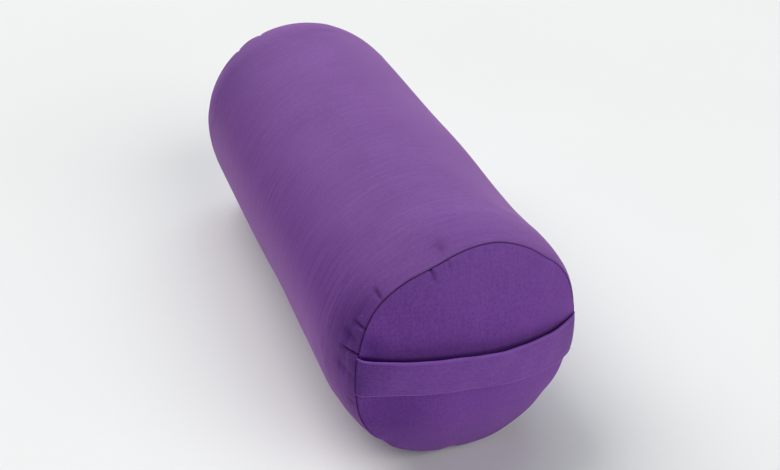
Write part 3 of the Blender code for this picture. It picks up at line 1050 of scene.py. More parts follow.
    def turned_in(self, run: Array, side: int) -> "ClothRun":
        """Cuts a run of (radius, y) points short of the seam and turns it down the corner.

        Args:
            run: dense points that end at the seam's corner.
            side: 1 for the body's cloth, or -1 for the end panel's.

        Returns:
            The run with its turn and its seam allowance.
        """
        seam = np.array([self.seam_radius, self.seam_half])
        down = -np.array([1.0, 1.0]) / math.sqrt(2)
        corner = seam + side * np.array([1.0, -1.0]) / math.sqrt(2) * self.seam_half_gap
        kept = run[np.hypot(*(run - seam).T) >= self.seam_turn]
        foot = corner + down * self.seam_turn
        share = np.linspace(0, 1, self.turn_steps + 1)[1:, None]
        turn = (1 - share) ** 2 * kept[-1] + 2 * share * (1 - share) * corner + share**2 * foot
        edge = corner + down * self.allowance
        hem = foot + (edge - foot) * np.linspace(0, 1, self.hem_steps + 1)[1:, None]
        return ClothRun(np.vstack([kept, turn, hem]), self)

    def body_run(self) -> "ClothRun":
        """The body cloth's half profile, from the bolster's middle to its rear allowance."""
        angle = np.linspace(math.pi / 2, self.shoulder_stop, 400)
        low = math.sin(self.shoulder_stop)
        rise = (np.sin(angle) - low) / (1 - low)
        slide = (math.cos(self.shoulder_stop) - np.cos(angle)) / math.cos(self.shoulder_stop)
        radius = self.seam_radius + (self.body_radius - self.seam_radius) * rise
        y = self.seam_half - (self.seam_half - self.straight_half) * slide
        barrel = np.stack([np.full(50, self.body_radius), np.linspace(0, self.straight_half, 50)], -1)
        return self.turned_in(np.vstack([barrel[:-1], np.stack([radius, y], -1)]), 1)

    def end_run(self) -> "ClothRun":
        """An end cloth's profile, from its centre to its allowance."""
        radius = np.linspace(0, self.seam_radius, 600)
        y = self.seam_half + self.crown * (1 - (radius / self.seam_radius) ** self.crown_power)
        return self.turned_in(np.stack([radius, y], -1), -1)


class ClothRun:
    """A cloth's profile, read by the length of cloth along it."""

    def __init__(self, points: Array, form: BolsterForm) -> None:
        """Measures the profile.

        Args:
            points: dense (radius, y) points.
            form: the bolster's sizes.
        """
        self.points = points
        steps = np.hypot(*np.diff(points, axis=0).T)
        self.lengths = np.concatenate([[0], np.cumsum(steps)])
        self.end = float(self.lengths[-1])
        self.foot = self.end - (form.allowance - form.seam_turn)
        turn = points[-form.hem_steps - form.turn_steps - 1 : -form.hem_steps]
        self.turn_start = self.foot - float(np.hypot(*np.diff(turn, axis=0).T).sum())
        self.seam = (self.turn_start + self.foot) / 2

    def at(self, length: Array) -> tuple[Array, Array]:
        """The radius and y at a length of cloth from the profile's start."""
        radius = np.interp(length, self.lengths, self.points[:, 0])
        return radius, np.interp(length, self.lengths, self.points[:, 1])

    def seam_stations(self, fine_from: float, step: float) -> list[float]:
        """Stations that lie closer together towards the seam and end at the allowance's edge.

        Args:
            fine_from: the first station.
            step: the largest spacing up to the turn at the seam.

        Returns:
            Lengths from the profile's start.
        """
        near = spaced(fine_from, self.turn_start, step)
        near += spaced(self.turn_start, self.foot, 0.45 * MM)
        return near + [self.foot, (self.foot + self.end) / 2, self.end]


@dataclass(frozen=True)
class Tuck:
    """A small fold that starts at an end seam and runs away from it.

    Sizes are in metres on the cloth. Drift is how far round the fold slides by its far end.
    """

    angle: float
    reach: float
    width: float
    depth: float
    drift: float = 0.0
    start: float = 0.0
    lift: float = 0.35
    peak: float = 0.25

    def depth_at(self, angle: Array, away: Array, radius: float) -> Array:
        """How far the fold moves the cloth outwards.

        Args:
            angle: angle round the axis.
            away: distance from the seam.
            radius: the radius that turns angles into distances.

        Returns:
            The move along the cloth's normal.
        """
        share = (away - self.start) / self.reach
        across = turn_between(angle, math.radians(self.angle)) * radius - self.drift * np.clip(share, 0, 1)
        width = self.width * (0.8 + 0.8 * np.clip(share, 0, 1))
        strength = ease(-0.25, self.peak, share) * (1 - ease(self.peak, 1.0, share))
        pinch = -self.depth * np.exp(-np.abs(across / width) ** 1.3)
        side = self.lift * self.depth * np.exp(-(((np.abs(across) - 2.2 * width) / (1.3 * width)) ** 2))
        return strength * (pinch + side)


@dataclass(frozen=True)
class ClothTest:
    """The settings of the cloth simulation that gives the panels their puckers."""

    columns: int = 256
    frames: int = 20
    pressure: float = 4.0
    spare_cloth: float = 0.008
    most_move: float = 0.003
    tension: float = 40.0
    bending: float = 1.2
    share: float = 0.25

    def puckers(self, rest: Array, held: Array) -> Array:
        """Blows up a ring of cloth that is held at its edges and a little too large for them.

        Args:
            rest: rows by columns of points, closing on itself round its columns.
            held: which rows are sewn down.

        Returns:
            How far each point moved.
        """
        rows, columns = rest.shape[:2]
        obj = new_piece("cloth_test", rest.reshape(-1, 3), ring_faces(rows, columns).reshape(-1, 4))
        pins = obj.vertex_groups.new(name="sewn")
        index = np.arange(rows * columns).reshape(rows, columns)
        pins.add(index[held].ravel().tolist(), 1.0, "REPLACE")
        cloth = modify(obj, "CLOTH")
        set_all(
            cloth.settings,
            quality=6,
            mass=0.15,
            tension_stiffness=self.tension,
            compression_stiffness=self.tension,
            shear_stiffness=self.tension / 4,
            bending_stiffness=self.bending,
            air_damping=2,
            use_pressure=True,
            uniform_pressure_force=self.pressure,
            shrink_min=-self.spare_cloth,
            vertex_group_mass=pins.name,
        )
        cloth.settings.effector_weights.gravity = 0
        cloth.collision_settings.use_collision = False
        set_all(cloth.point_cache, frame_start=1, frame_end=self.frames)
        scene = bpy.context.scene
        for frame in range(1, self.frames + 1):
            scene.frame_set(frame)
        apply_modifiers(obj)
        moved = points_of(obj).reshape(rows, columns, 3) - rest
        bpy.data.objects.remove(obj, do_unlink=True)
        scene.frame_set(1)
        return moved


# The pieces


def settle_piece(
    obj: Piece,
    body: str,
    node: str | None,
    material: bpy.types.Material,
) -> None:
    """Dresses a finished piece, hangs it on the body that it moves with and hides the frame node that it
    replaces.
        material: its finish.
    """
    obj.data.materials.clear()
    obj.data.materials.append(material)
    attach(obj, body)
    if node:
        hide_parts(node)
    log.info("%s: %d faces, on %s", obj.name, len(obj.data.polygons), body)


@dataclass
class CoverPanels:
    """The body panel and the two crowned end panels, sewn over the filling."""

    form: BolsterForm
    shade_behind_strap: Callable[[Array, Array], Array]
    cloth: float = 1.5 * MM
    test: ClothTest = field(default_factory=ClothTest)
    body_tucks: tuple[Tuck, ...] = (
        Tuck(135.5, 0.020, 2.0 * MM, 2.1 * MM, drift=-2.2 * MM, peak=0.4, lift=0.25),
        Tuck(150.0, 0.018, 1.9 * MM, 2.6 * MM, drift=2.0 * MM, peak=0.3, lift=0.3),
        Tuck(162.0, 0.029, 1.8 * MM, 3.0 * MM, drift=7.5 * MM, peak=0.2, lift=0.35),
        Tuck(102.5, 0.018, 5.0 * MM, 0.9 * MM, start=6.0 * MM, peak=0.4, lift=0.1),
        Tuck(157.0, 0.026, 4.5 * MM, 1.4 * MM, start=3.0 * MM, peak=0.4, lift=0.1),
        Tuck(173.0, 0.030, 5.0 * MM, 1.2 * MM, start=2.0 * MM, peak=0.4, lift=0.2),
        Tuck(188.0, 0.014, 2.0 * MM, 1.0 * MM, peak=0.3),
        Tuck(205.0, 0.012, 1.8 * MM, 0.9 * MM, peak=0.3),
    )
    front_tucks: tuple[Tuck, ...] = (
        Tuck(111.0, 0.020, 1.9 * MM, 2.1 * MM, drift=1.0 * MM, peak=0.12),
        Tuck(102.5, 0.014, 1.5 * MM, 1.1 * MM, peak=0.25),
        Tuck(92.0, 0.015, 1.6 * MM, 0.6 * MM, start=2.0 * MM),
        Tuck(84.0, 0.014, 1.6 * MM, 0.5 * MM, start=2.0 * MM),
        Tuck(69.0, 0.012, 1.6 * MM, 0.4 * MM, start=1.0 * MM),
    )
    rear_tucks: tuple[Tuck, ...] = (
        Tuck(112.0, 0.016, 1.6 * MM, 0.8 * MM),
        Tuck(128.5, 0.018, 1.6 * MM, 0.9 * MM),
        Tuck(64.0, 0.014, 1.5 * MM, 0.6 * MM),
        Tuck(203.0, 0.016, 1.6 * MM, 0.7 * MM),
        Tuck(232.0, 0.014, 1.5 * MM, 0.6 * MM),
    )
    rear_end_tucks: tuple[Tuck, ...] = (
        Tuck(119.0, 0.015, 1.5 * MM, 0.6 * MM),
        Tuck(78.0, 0.017, 1.5 * MM, 0.8 * MM, drift=-1.0 * MM),
        Tuck(41.0, 0.013, 1.4 * MM, 0.5 * MM),
        Tuck(171.0, 0.016, 1.5 * MM, 0.7 * MM),
        Tuck(214.0, 0.014, 1.5 * MM, 0.6 * MM),
    )
    # Painted shade beside the end seams, where the cloth looks darker among its gathers
    body_front_painted_shade: tuple[Patch, ...] = (
        Patch(160, 15, 0.40, 0.018, 0.030),
        Patch(148, 22, 0.16, 0.062, 0.048),
        Patch(143, 10, 0.20, 0.014, 0.020),
        Patch(102, 4, 0.16, 0.012, 0.010),
    )
    body_rear_painted_shade: tuple[Patch, ...] = (
        Patch(146, 32, 0.33, 0.050, 0.095),
        Patch(124, 12, 0.35, 0.004, 0.020),
    )
    front_end_painted_shade: tuple[Patch, ...] = (
        Patch(156, 6, 0.45, 0.010, 0.013),
        Patch(208, 30, 0.38, 0.025, 0.050),
    )
    # Painted shade in the end seams' creases
    crease_reach: float = 0.45 * MM
    crease_shade_strength: float = 0.3
    crease_shade_fade: tuple[float, ...] = tuple(math.radians(a) for a in (204, 212, 300, 320))
    fold_shade: float = 0.22 / MM
    tucked: Pair = (math.radians(94), math.radians(178))
    pucker_step: float = 3.2 * MM
    plain_half_length: float = 0.20
    plain_step: float = 0.010
    off_zip: Pair = (0.014, 0.030)
    off_floor: Pair = (0.004, 0.03)
    smooth_angle: float = 60

    def body_columns(self) -> Array:
        """The angles of the body's columns: close beside the zip and where the tucks are."""
        offsets = [0.0, 0.3, 0.8, 1.6, 3.0, 4.5, 6.0, 6.15, 6.45, 7.0, 8.0, 9.0, 10.0, 12.0, 14.0, 16.0]
        close = [o * MM / self.form.body_radius for o in offsets]
        zip_angle = self.form.zip_angle
        beside = sorted({zip_angle + s * c for s in (-1, 1) for c in close})
        plain, fine = 2.3 * MM / self.form.body_radius, 0.9 * MM / self.form.body_radius
        rest = spaced(zip_angle + close[-1], self.tucked[0], plain)[1:]
        rest += spaced(*self.tucked, fine)
        rest += spaced(self.tucked[1], zip_angle + TURN - close[-1], plain)
        return np.array(sorted(beside + rest))

    def body_rows(self, run: ClothRun) -> Array:
        """The stations along the body's profile, from the front allowance to the rear one.

        Args:
            run: the body cloth's profile.

        Returns:
            Lengths from the bolster's middle, less than 0 towards the front.
        """
        slit_end = self.form.slit_half_length
        stations = spaced(0, slit_end, 7.5 * MM)
        stations += [slit_end + o * MM for o in (0, 0.15, 0.45, 1, 2, 3, 4.5)]
        stations += spaced(slit_end + 6.5 * MM, run.turn_start - 0.024, 1.7 * MM)
        half = np.array(stations + run.seam_stations(run.turn_start - 0.024, 1.2 * MM))
        return np.concatenate([-half[:0:-1], half])

    def slit_welt(self, angle: Array, length: Array) -> Array:
        """The folded, stitched edge round the zip's slit, and the plain seam past its ends.

        Args:
            angle: places round the bolster.
            length: the same places' lengths from its middle.

        Returns:
            How far the cloth stands out there.
        """
        across = self.form.around_from_zip(angle)
        past = np.abs(length) - self.form.slit_half_length
        beside = across - self.form.slit_half_width
        from_slit = np.hypot(np.maximum(beside, 0), np.maximum(past, 0))
        stations = np.array([0, 0.15, 0.45, 1.0, 2.0, 3.0, 4.0, 6.0, 9.0]) * MM
        heights = np.array([-1.2, -0.7, -0.25, 0.0, 0.15, -0.2, 0.05, 0.1, 0.0]) * MM
        welt = np.interp(from_slit, stations, heights)
        seam = -0.9 * MM * bump(across, 0.6 * MM) - 0.35 * MM * bump(across, 2.6 * MM)
        return welt + seam * ease(2 * MM, 5 * MM, past)

    def seam_shade(self, angle: Array, away: Array) -> Array:
        """How much painted shade darkens the crease of an end seam; the painted shade fades under the
        bolster.

        Args:
            angle: places round the bolster.
            away: metres from the seam.

        Returns:
            The shade, from 0 to 1.
        """
        start, full, fading, end = self.crease_shade_fade
        turned = angle % TURN
        under = ease(start, full, turned) * (1 - ease(fading, end, turned))
        return self.crease_shade_strength * bump(np.maximum(away, 0), self.crease_reach) * (1 - under)

    def folds(self, tucks: Sequence[Tuck], angle: Array, away: Array, radius: float) -> Array:
        """How far all of a panel's tucks together move its cloth outwards."""
        return sum(tuck.depth_at(angle, away, radius) for tuck in tucks)

    def sew(self, obj: Piece, dark: Array, folds: Array, relief: Array, flat: Array) -> Piece:
        """Gives a panel's skin its painted shade, its relief, its map and its cloth.

        Args:
            obj: the skin.
            dark: how much painted shade each point has, besides that of its folds.
            folds: how far the folds move each point outwards.
            relief: how far each point moves outwards in all.
            flat: each point's place on the flat cloth.

        Returns:
            The finished mesh object, with no material.
        """
        # Painted shade: darker in seams, gathers and gaps, and in each fold's pinch
        lay_shade(obj, dark + self.fold_shade * np.maximum(-folds, 0))
        move_points(obj, points_of(obj) + points_of(obj, "normal") * relief[:, None])
        lay_uv(obj, flat)
        mend_uv_seam(obj, TURN * self.form.body_radius)
        add_wall(obj, self.cloth)
        smooth(obj, self.smooth_angle)
        return obj

    def make_body(self) -> Piece:
        """The tube of cloth between the end seams, as a finished mesh object with no material."""
        run = self.form.body_run()
        angles, lengths = self.body_columns(), self.body_rows(run)
        angle, length = np.meshgrid(angles, lengths)
        radius, y = run.at(np.abs(length))
        points = self.form.fitted_point(angle, radius, np.sign(length) * y)
        half = spaced(0, self.plain_half_length, self.plain_step)
        half += spaced(self.plain_half_length, run.turn_start, self.pucker_step) + [run.turn_start]
        stations = np.concatenate([-np.array(half)[:0:-1], half])
        points += self.simulated(run, stations, angle, length)
        mid_length = (lengths[:-1] + lengths[1:]) / 2
        mid_across = self.form.around_from_zip(angles + turn_between(np.roll(angles, -1), angles) / 2)
        in_slit = np.abs(mid_length)[:, None] < self.form.slit_half_length
        keep = ~(in_slit & (mid_across < self.form.slit_half_width)[None, :])
        quads = ring_faces(*angle.shape)[keep]
        obj = new_piece("body_panel", points.reshape(-1, 3), quads)
        loose = {"use_verts": True, "use_edges": True, "use_faces": False}
        edit_all(obj, lambda: bpy.ops.mesh.delete_loose(**loose))
        kept = np.unique(quads)
        angle, length = angle.ravel()[kept], length.ravel()[kept]
        away = run.seam - np.abs(length)
        reach = self.form.body_radius
        front = self.folds(self.body_tucks, angle, away, reach)
        folds = np.where(length < 0, front, self.folds(self.rear_tucks, angle, away, reach))
        # Painted shade of the gathers beside the seams
        near, far = total(self.body_front_painted_shade, angle, away), total(self.body_rear_painted_shade, angle, away)
        dark = self.seam_shade(angle, away) + np.where(length < 0, near, far)
        flat = np.stack([(angle % TURN) * reach, length], -1)
        return self.sew(obj, dark, folds, self.slit_welt(angle, length) + folds, flat)

    def simulated(
        self, run: ClothRun, stations: Array, angle: Array, length: Array, side: int = 0
    ) -> Array:
        """Runs the cloth test on a ring of cloth and reads it at any points of the finer mesh.

        Args:
            run: the cloth's profile.
            stations: the lengths of the test's rows.
            angle: the points' angles round the axis.
            length: the points' lengths along the profile.
            side: -1 or 1 for an end's cloth, or 0 for one that runs from end to end.

        Returns:
            How far each point moves.
        """
        angles = np.arange(self.test.columns) * TURN / self.test.columns
        test_angle, test_length = np.meshgrid(angles, stations)
        radius, y = run.at(np.abs(test_length))
        rest = self.form.fitted_point(test_angle, radius, (side or np.sign(test_length)) * y)
        held = np.zeros(len(stations), bool)
        held[[0, 1, -2, -1]] = True
        moved = self.test.puckers(rest, held)
        out = np.stack([np.cos(test_angle), 0 * test_angle, np.sin(test_angle)], -1)
        local = self.without_swelling(np.stack([(moved * out).sum(-1), moved[..., 1]], -1))
        size = np.linalg.norm(local, axis=-1, keepdims=True)
        local *= self.test.share * np.minimum(1, self.test.most_move / np.maximum(size, 1e-9))
        log.info("cloth test: puckers up to %.1f mm", 1000 * np.abs(local).max())
        row = np.interp(length, stations, np.arange(len(stations)))
        read = read_cubic(local, row, (angle % TURN) / TURN * self.test.columns)
        inside = (length >= stations[0]) & (length <= stations[-1])
        clear = ease(*self.off_zip, self.form.around_from_zip(angle)) * inside
        height = self.form.axis_height + self.form.body_radius * np.sin(angle)
        lift = ease(*self.off_floor, height)
        radial = read[..., 0] * clear * lift
        return np.stack([radial * np.cos(angle), read[..., 1] * clear * lift, radial * np.sin(angle)], -1)

    @staticmethod
    def without_swelling(local: Array, broad: int = 5) -> Array:
        """Takes out the part of a move that goes slowly round the bolster."""
        spectrum = np.fft.rfft(local, axis=1)
        spectrum[:, :broad] = 0
        return np.fft.irfft(spectrum, n=local.shape[1], axis=1)

    def make_end(self, name: str, side: int, rings: int, tucks: Sequence[Tuck]) -> Piece:
        """A crowned end panel, as a grid of square rings that are drawn out to round ones.

        Args:
            name: the piece's name.
            side: -1 for the front end, 1 for the rear.
            rings: how many rings of faces it has from its centre.
            tucks: its small folds.

        Returns:
            The finished mesh object, with no material.
        """
        run = self.form.end_run()
        outer = run.seam_stations(run.turn_start - 0.020, 1.2 * MM)
        inner = np.linspace(0, outer[0], rings + 1 - len(outer), endpoint=False)
        count = 2 * rings + 1
        i, j = np.indices((count, count)) - rings
        sideways = np.abs(i) >= np.abs(j)
        major, minor = np.where(sideways, i, j), np.where(sideways, j, i)
        lean = math.pi / 4 * minor / np.where(major == 0, 1, major)
        angle = np.where(sideways, lean, math.pi / 2 - lean) + np.where(major < 0, math.pi, 0)
        length = np.concatenate([inner, outer])[np.abs(major)]
        radius, y = run.at(length)
        points = self.form.fitted_point(angle, radius, side * y)
        stations = np.array(spaced(0.035, run.turn_start, self.pucker_step) + [run.turn_start])
        points += self.simulated(run, stations, angle, length, side)
        index = np.arange(count * count).reshape(count, count)
        quads = np.stack([index[:-1, :-1], index[1:, :-1], index[1:, 1:], index[:-1, 1:]], -1)
        quads = quads.reshape(-1, 4)
        obj = new_piece(name, points.reshape(-1, 3), quads if side < 0 else quads[:, ::-1])
        angle, length, radius = angle.ravel(), length.ravel(), radius.ravel()
        away = run.seam - length
        round_it = np.array([np.cos(angle), np.sin(angle)])
        dark = self.seam_shade(angle, away)
        if side < 0:
            # Painted shade of the end panel's gathers and of the gap behind the strap
            dark = dark + total(self.front_end_painted_shade, angle, away)
            dark = dark + self.shade_behind_strap(*(radius * round_it))
        folds = self.folds(tucks, angle, away, self.form.seam_radius)
        return self.sew(obj, dark, folds, folds, (length * round_it).T)

    def build(self, finishes: Finishes, effects: Effects) -> None:
        """Makes the three panels and dresses them."""
        body = self.make_body()
        settle_piece(body, "bolster", "cover_body", finishes.body.make(effects))
        end_cloth = finishes.end.make(effects)
        ends = (("front", -1, 80, self.front_tucks), ("rear", 1, 64, self.rear_end_tucks))
        for word, side, rings, tucks in ends:
            end = self.make_end(f"{word}_end_panel", side, rings, tucks)
            settle_piece(end, "bolster", f"cover_end_{word}", end_cloth)


@dataclass(frozen=True)
class Stitch:
    """One stitch of thicker top-stitching thread, modelled once and laid along a row."""

    length: float = 2.6 * MM
    width: float = 0.55 * MM
    height: float = 0.35 * MM
    gap: float = 0.8 * MM
    bluntness: float = 0.8
    slant: float = 0.06

    def model(self) -> tuple[Array, Array]:
        """The stitch's points and faces, along X with its thickness in Z."""
        deselect()
        bpy.ops.mesh.primitive_uv_sphere_add(segments=8, ring_count=5, radius=0.5)
        obj = bpy.context.object
        points = points_of(obj)[:, [2, 0, 1]]
        size = (self.length, self.width, 2 * self.height)
        points = np.sign(points) * np.abs(2 * points) ** self.bluntness / 2 * size
        # The operator lists the faces in an order that differs from run to run
        faces = sorted(tuple(face.vertices) for face in obj.data.polygons)
        bpy.data.objects.remove(obj, do_unlink=True)
        return points, faces

    def lay(self, name: str, rows: Sequence[tuple[Array, Array]]) -> Piece:
        """Copies the stitch along rows on a surface.

        Args:
            name: the piece's name.
            rows: each row's dense points and the surface's normals there.

        Returns:
            One object that holds every stitch.
        """

        def read(table: Array, run: Array, place: float) -> Array:
            """A row of three numbers, read between two of a table's rows."""
            return np.array([np.interp(place, run, table[:, k]) for k in range(3)])

        base, faces = self.model()
        points, polygons = [], []
        for path, outward in rows:
            run = np.concatenate([[0], np.cumsum(np.linalg.norm(np.diff(path, axis=0), axis=1))])
            count = int(run[-1] / (self.length + self.gap))
            for i in range(count):
                middle = run[-1] * (i + 0.5) / count
                here, ahead, behind = (read(path, run, middle + step) for step in (0, MM, -MM))
                up = read(outward, run, middle)
                along = (ahead - behind) / max(np.linalg.norm(ahead - behind), 1e-9)
                up -= along * (up @ along)
                up /= np.linalg.norm(up)
                side = np.cross(up, along)
                slant = self.slant * math.sin(7.3 * i)
                along, side = along + slant * side, side - slant * along
                start = len(base) * len(points)
                points.append(here + base @ np.stack([along, side, up]))
                polygons += [tuple(start + k for k in face) for face in faces]
        obj = new_piece(name, np.vstack(points), polygons)
        smooth(obj, 180)
        return obj


@dataclass
class CarryStrap:
    """The flat strap across the front end: a folded band of the cover's cloth, top-stitched."""

    form: BolsterForm
    width: float = 0.0420
    rise: float = 0.0015
    arch: float = 0.0053
    arch_skew: float = -0.0063
    thickness: float = 3.0 * MM
    bow: float = 0.008
    bow_skew: float = -0.3
    bow_power: float = 4.0
    end_radius: float = 0.1169
    tilt: float = math.radians(6.7)
    seat: float = 0.4 * MM
    sewn_depth: float = 2.4 * MM
    stitch_inset: float = 4.6 * MM
    groove: float = 0.22 * MM
    pillow: float = 0.15 * MM
    hang: float = 0.0037
    twist: float = -0.0042
    stations: int = 150
    end_crowding: float = 1.25
    end_thinning: float = 0.35
    stitched_half: float = 0.965
    # Painted shade in the gap behind the strap
    gap_sight: float = 0.55
    gap_shade: float = 0.95
    # Painted shade at the strap's ends
    tuck_in_shade_reach: float = 1.3 * MM
    end_shade_reach: float = 24.0 * MM
    pinch: float = 3.0 * MM
    pinch_reach: float = 0.22
    stitch: Stitch = field(default_factory=lambda: Stitch(width=0.45 * MM, height=0.26 * MM))

    def middle(self, along: Array) -> Array:
        """How high the strap's middle line is over the axis, before its tilt."""
        return self.rise + (self.arch + self.arch_skew * along) * (1 - along**2)

    def stand_off(self, along: Array, edge: Array | float, ripple: Array | float = 0.0) -> Array:
        """How far the strap's inner face stands off the end panel.

        Args:
            along: from -1 to 1 along the strap.
            edge: from -1 at its lower edge to 1 at its upper.
            ripple: what its waves add where it hangs free.

        Returns:
            The distance.
        """
        away = self.bow * (1 + self.bow_skew * along) + ripple + (self.hang + self.twist * along) * edge
        return self.seat + away * (1 - np.abs(along) ** self.bow_power)

    def inner_face(self, along: Array, across: Array) -> Array:
        """The face next to the end panel, before the bolster's lean.

        Args:
            along: from -1 to 1 along the strap.
            across: metres from the strap's middle line, upwards.

        Returns:
            Points as rows of three numbers.
        """
        edge = np.clip(2 * across / self.width, -1, 1)
        pinched = self.pinch * bump(1 + along, self.pinch_reach) * np.maximum(edge, 0)
        high = across - pinched + self.middle(along)
        x = along * np.sqrt(self.end_radius**2 - high**2)
        crown = self.form.crown * (1 - (np.hypot(x, high) / self.form.seam_radius) ** self.form.crown_power)
        ripple = 0.4 * MM * np.sin(9 * along + 40 * across) + 0.25 * MM * np.sin(23 * along - 70 * across)
        sewn = self.sewn_depth * ease(self.stitched_half, 1.0, np.abs(along))
        y = -(self.form.seam_half + crown + self.stand_off(along, edge, ripple) - sewn)
        height = self.form.axis_height + high * math.cos(self.tilt) - x * math.sin(self.tilt)
        return np.stack([x * math.cos(self.tilt) + high * math.sin(self.tilt), y, height], -1)

    def shade_behind(self, x: Array, high: Array) -> Array:
        """How much painted shade darkens the end panel in the gap behind the strap.

        Args:
            x: places on the panel, across the bolster from its axis.
            high: the same places' heights over the axis.

        Returns:
            The shade, from 0 to 1.
        """
        level = x * math.cos(self.tilt) - high * math.sin(self.tilt)
        raised = x * math.sin(self.tilt) + high * math.cos(self.tilt)
        along = np.clip(level / np.sqrt(np.maximum(self.end_radius**2 - raised**2, 1e-6)), -1, 1)
        seen = self.gap_sight * (self.stand_off(along, 1) + self.thickness)
        over = raised - self.middle(along) - self.width / 2 + seen
        hidden = ease(3 * MM - self.width, 15 * MM - self.width, over)
        shade = self.gap_shade * np.clip(0.6 - 0.5 * along, 0, 1)
        return shade * hidden * (1 - ease(0.0, 4 * MM, over))

    def at(self, along: Array, across: Array, out: Array) -> tuple[Array, Array]:
        """A point of the strap, out from its inner face.

        Args:
            along: from -1 to 1 along the strap.
            across: metres from the strap's middle line, upwards.
            out: metres from its inner face.

        Returns:
            The points and the outward directions there.
        """
        step = 1e-3
        here = self.form.carry(self.inner_face(along, across))
        ahead = self.form.carry(self.inner_face(along + step, across)) - here
        above = self.form.carry(self.inner_face(along, across + step)) - here
        outward = np.cross(ahead, above)
        outward /= np.linalg.norm(outward, axis=-1, keepdims=True)
        outward *= -np.sign(outward[..., 1:2])
        return here + outward * np.asarray(out)[..., None], outward

    def section(self) -> tuple[Array, Array]:
        """The strap's closed section: places across it and heights out from its inner face."""
        half, fold = self.width / 2, self.thickness / 2
        outer = np.linspace(-half + fold, half - fold, 41)
        from_row = np.abs(np.abs(outer) - (half - self.stitch_inset))
        outer_height = self.thickness - self.groove * bump(from_row, 1.3 * MM)
        outer_height += self.pillow * (1 - (outer / half) ** 4)
        turn = np.linspace(0, math.pi, 8)[1:-1]
        bulge, drop = fold * np.sin(turn), fold * np.cos(turn)
        inner = np.linspace(half - fold, -half + fold, 13)
        across = np.concatenate([outer, half - fold + bulge, inner, -half + fold - bulge])
        return across, np.concatenate([outer_height, fold + drop, np.zeros(13), fold - drop])

    def make_band(self) -> Piece:
        """The folded band itself."""
        across, height = self.section()
        share = np.linspace(-1, 1, self.stations)
        along = np.sign(share) * (1 - (1 - np.abs(share)) ** self.end_crowding)
        place, station = np.meshgrid(across, along)
        thin = 1 - self.end_thinning * ease(0.93, 1.0, np.abs(station))
        points, _ = self.at(station, place, np.tile(height, (len(along), 1)) * thin)
        rows, columns = place.shape
        quads = ring_faces(rows, columns).reshape(-1, 4)[:, ::-1].tolist()
        ends = [list(range(columns))[::-1], list(range(columns * (rows - 1), columns * rows))]
        obj = new_piece("carry_band", points.reshape(-1, 3), quads + ends)
        point_outwards(obj)
        lay_uv(obj, np.stack([station.ravel() * self.end_radius, place.ravel()], -1))
        from_seam = (1 - np.abs(station.ravel())) * self.end_radius
        # Painted shade: a dark line where each end goes into the seam, and a broader darkening beside it
        lay_shade(obj, 0.9 * bump(from_seam, self.tuck_in_shade_reach) + 0.34 * bump(from_seam, self.end_shade_reach))
        smooth(obj, 60)
        return obj

    def make_stitching(self) -> Piece:
        """The two rows of top-stitching along the folded edges."""
        along = np.linspace(-self.stitched_half, self.stitched_half, 300)
        face = np.full_like(along, self.thickness - self.groove + self.pillow + 0.05 * MM)
        across = np.full_like(along, self.width / 2 - self.stitch_inset)
        rows = [self.at(along, side * across, face) for side in (-1, 1)]
        return self.stitch.lay("carry_band_stitching", rows)

    def build(self, finishes: Finishes, effects: Effects) -> None:
        """Makes the strap and its stitching and dresses them."""
        cloth = finishes.strap.make(effects)
        settle_piece(self.make_band(), "bolster", "carry_strap", cloth)
        thread = finishes.thread.make(effects)
        settle_piece(self.make_stitching(), "bolster", None, thread)


@dataclass(frozen=True)
class CoilTurn:
    """One turn of the nylon coil, as a closed-up filament loop that is repeated along the zip."""

    pitch: float = 2.0 * MM
    filament: float = 0.30 * MM
    top: float = -0.93 * MM
    bottom: float = -2.66 * MM
    head: float = -0.95 * MM
    back: float = 2.95 * MM
    shear: float = 0.35 * MM

    def path(self, side: int) -> list[Colour]:
        """The loop's centre line in the zip's own frame, from one back bend to the next."""
        middle = (self.top + self.bottom) / 2
        last = self.shear + 0.4 * (self.pitch - self.shear)
        points = [
            (self.back, 0.0, middle),
            (self.back - 0.35 * MM, 0.0, self.top - 0.15 * MM),
            (self.back - 1.0 * MM, 0.0, self.top),
            (self.head + 0.7 * MM, 0.0, self.top),
            (self.head + 0.15 * MM, self.shear * 0.2, self.top - 0.3 * MM),
            (self.head, self.shear * 0.5, middle),
            (self.head + 0.15 * MM, self.shear * 0.8, self.bottom + 0.3 * MM),
            (self.head + 0.7 * MM, self.shear, self.bottom),
            (self.back - 1.0 * MM, self.shear, self.bottom),
            (self.back - 0.35 * MM, last, self.bottom + 0.15 * MM),
            (self.back, self.pitch, middle),
        ]
        return [(side * x, y, z) for x, y, z in points]

    def make_row(self, name: str, side: int, start: float, count: int) -> Piece:
        """A whole row of turns.

        Args:
            name: the piece's name.
            side: -1 for the upper row, 1 for the lower.
            start: where the first turn starts along the zip.
            count: how many turns it has.

        Returns:
            The row, in the zip's own frame.
        """
        curve = bpy.data.curves.new(name, "CURVE")
        set_all(curve, dimensions="3D", bevel_depth=self.filament, bevel_resolution=1)
        spline = curve.splines.new("POLY")
        path = self.path(side)
        spline.points.add(len(path) - 1)
        for point, (x, y, z) in zip(spline.points, path):
            point.co = (x, start + y, z, 1)
        obj = link_new(name, curve)
        activate(obj)
        bpy.ops.object.convert(target="MESH")
        modify(
            obj,
            "ARRAY",
            use_relative_offset=False,
            use_constant_offset=True,
            constant_offset_displace=(0, self.pitch, 0),
            count=count,
            use_merge_vertices=True,
            merge_threshold=0.05 * MM,
        )
        apply_modifiers(obj)
        edit_all(obj, lambda: bpy.ops.mesh.fill_holes(sides=0))
        point_outwards(obj)
        return obj


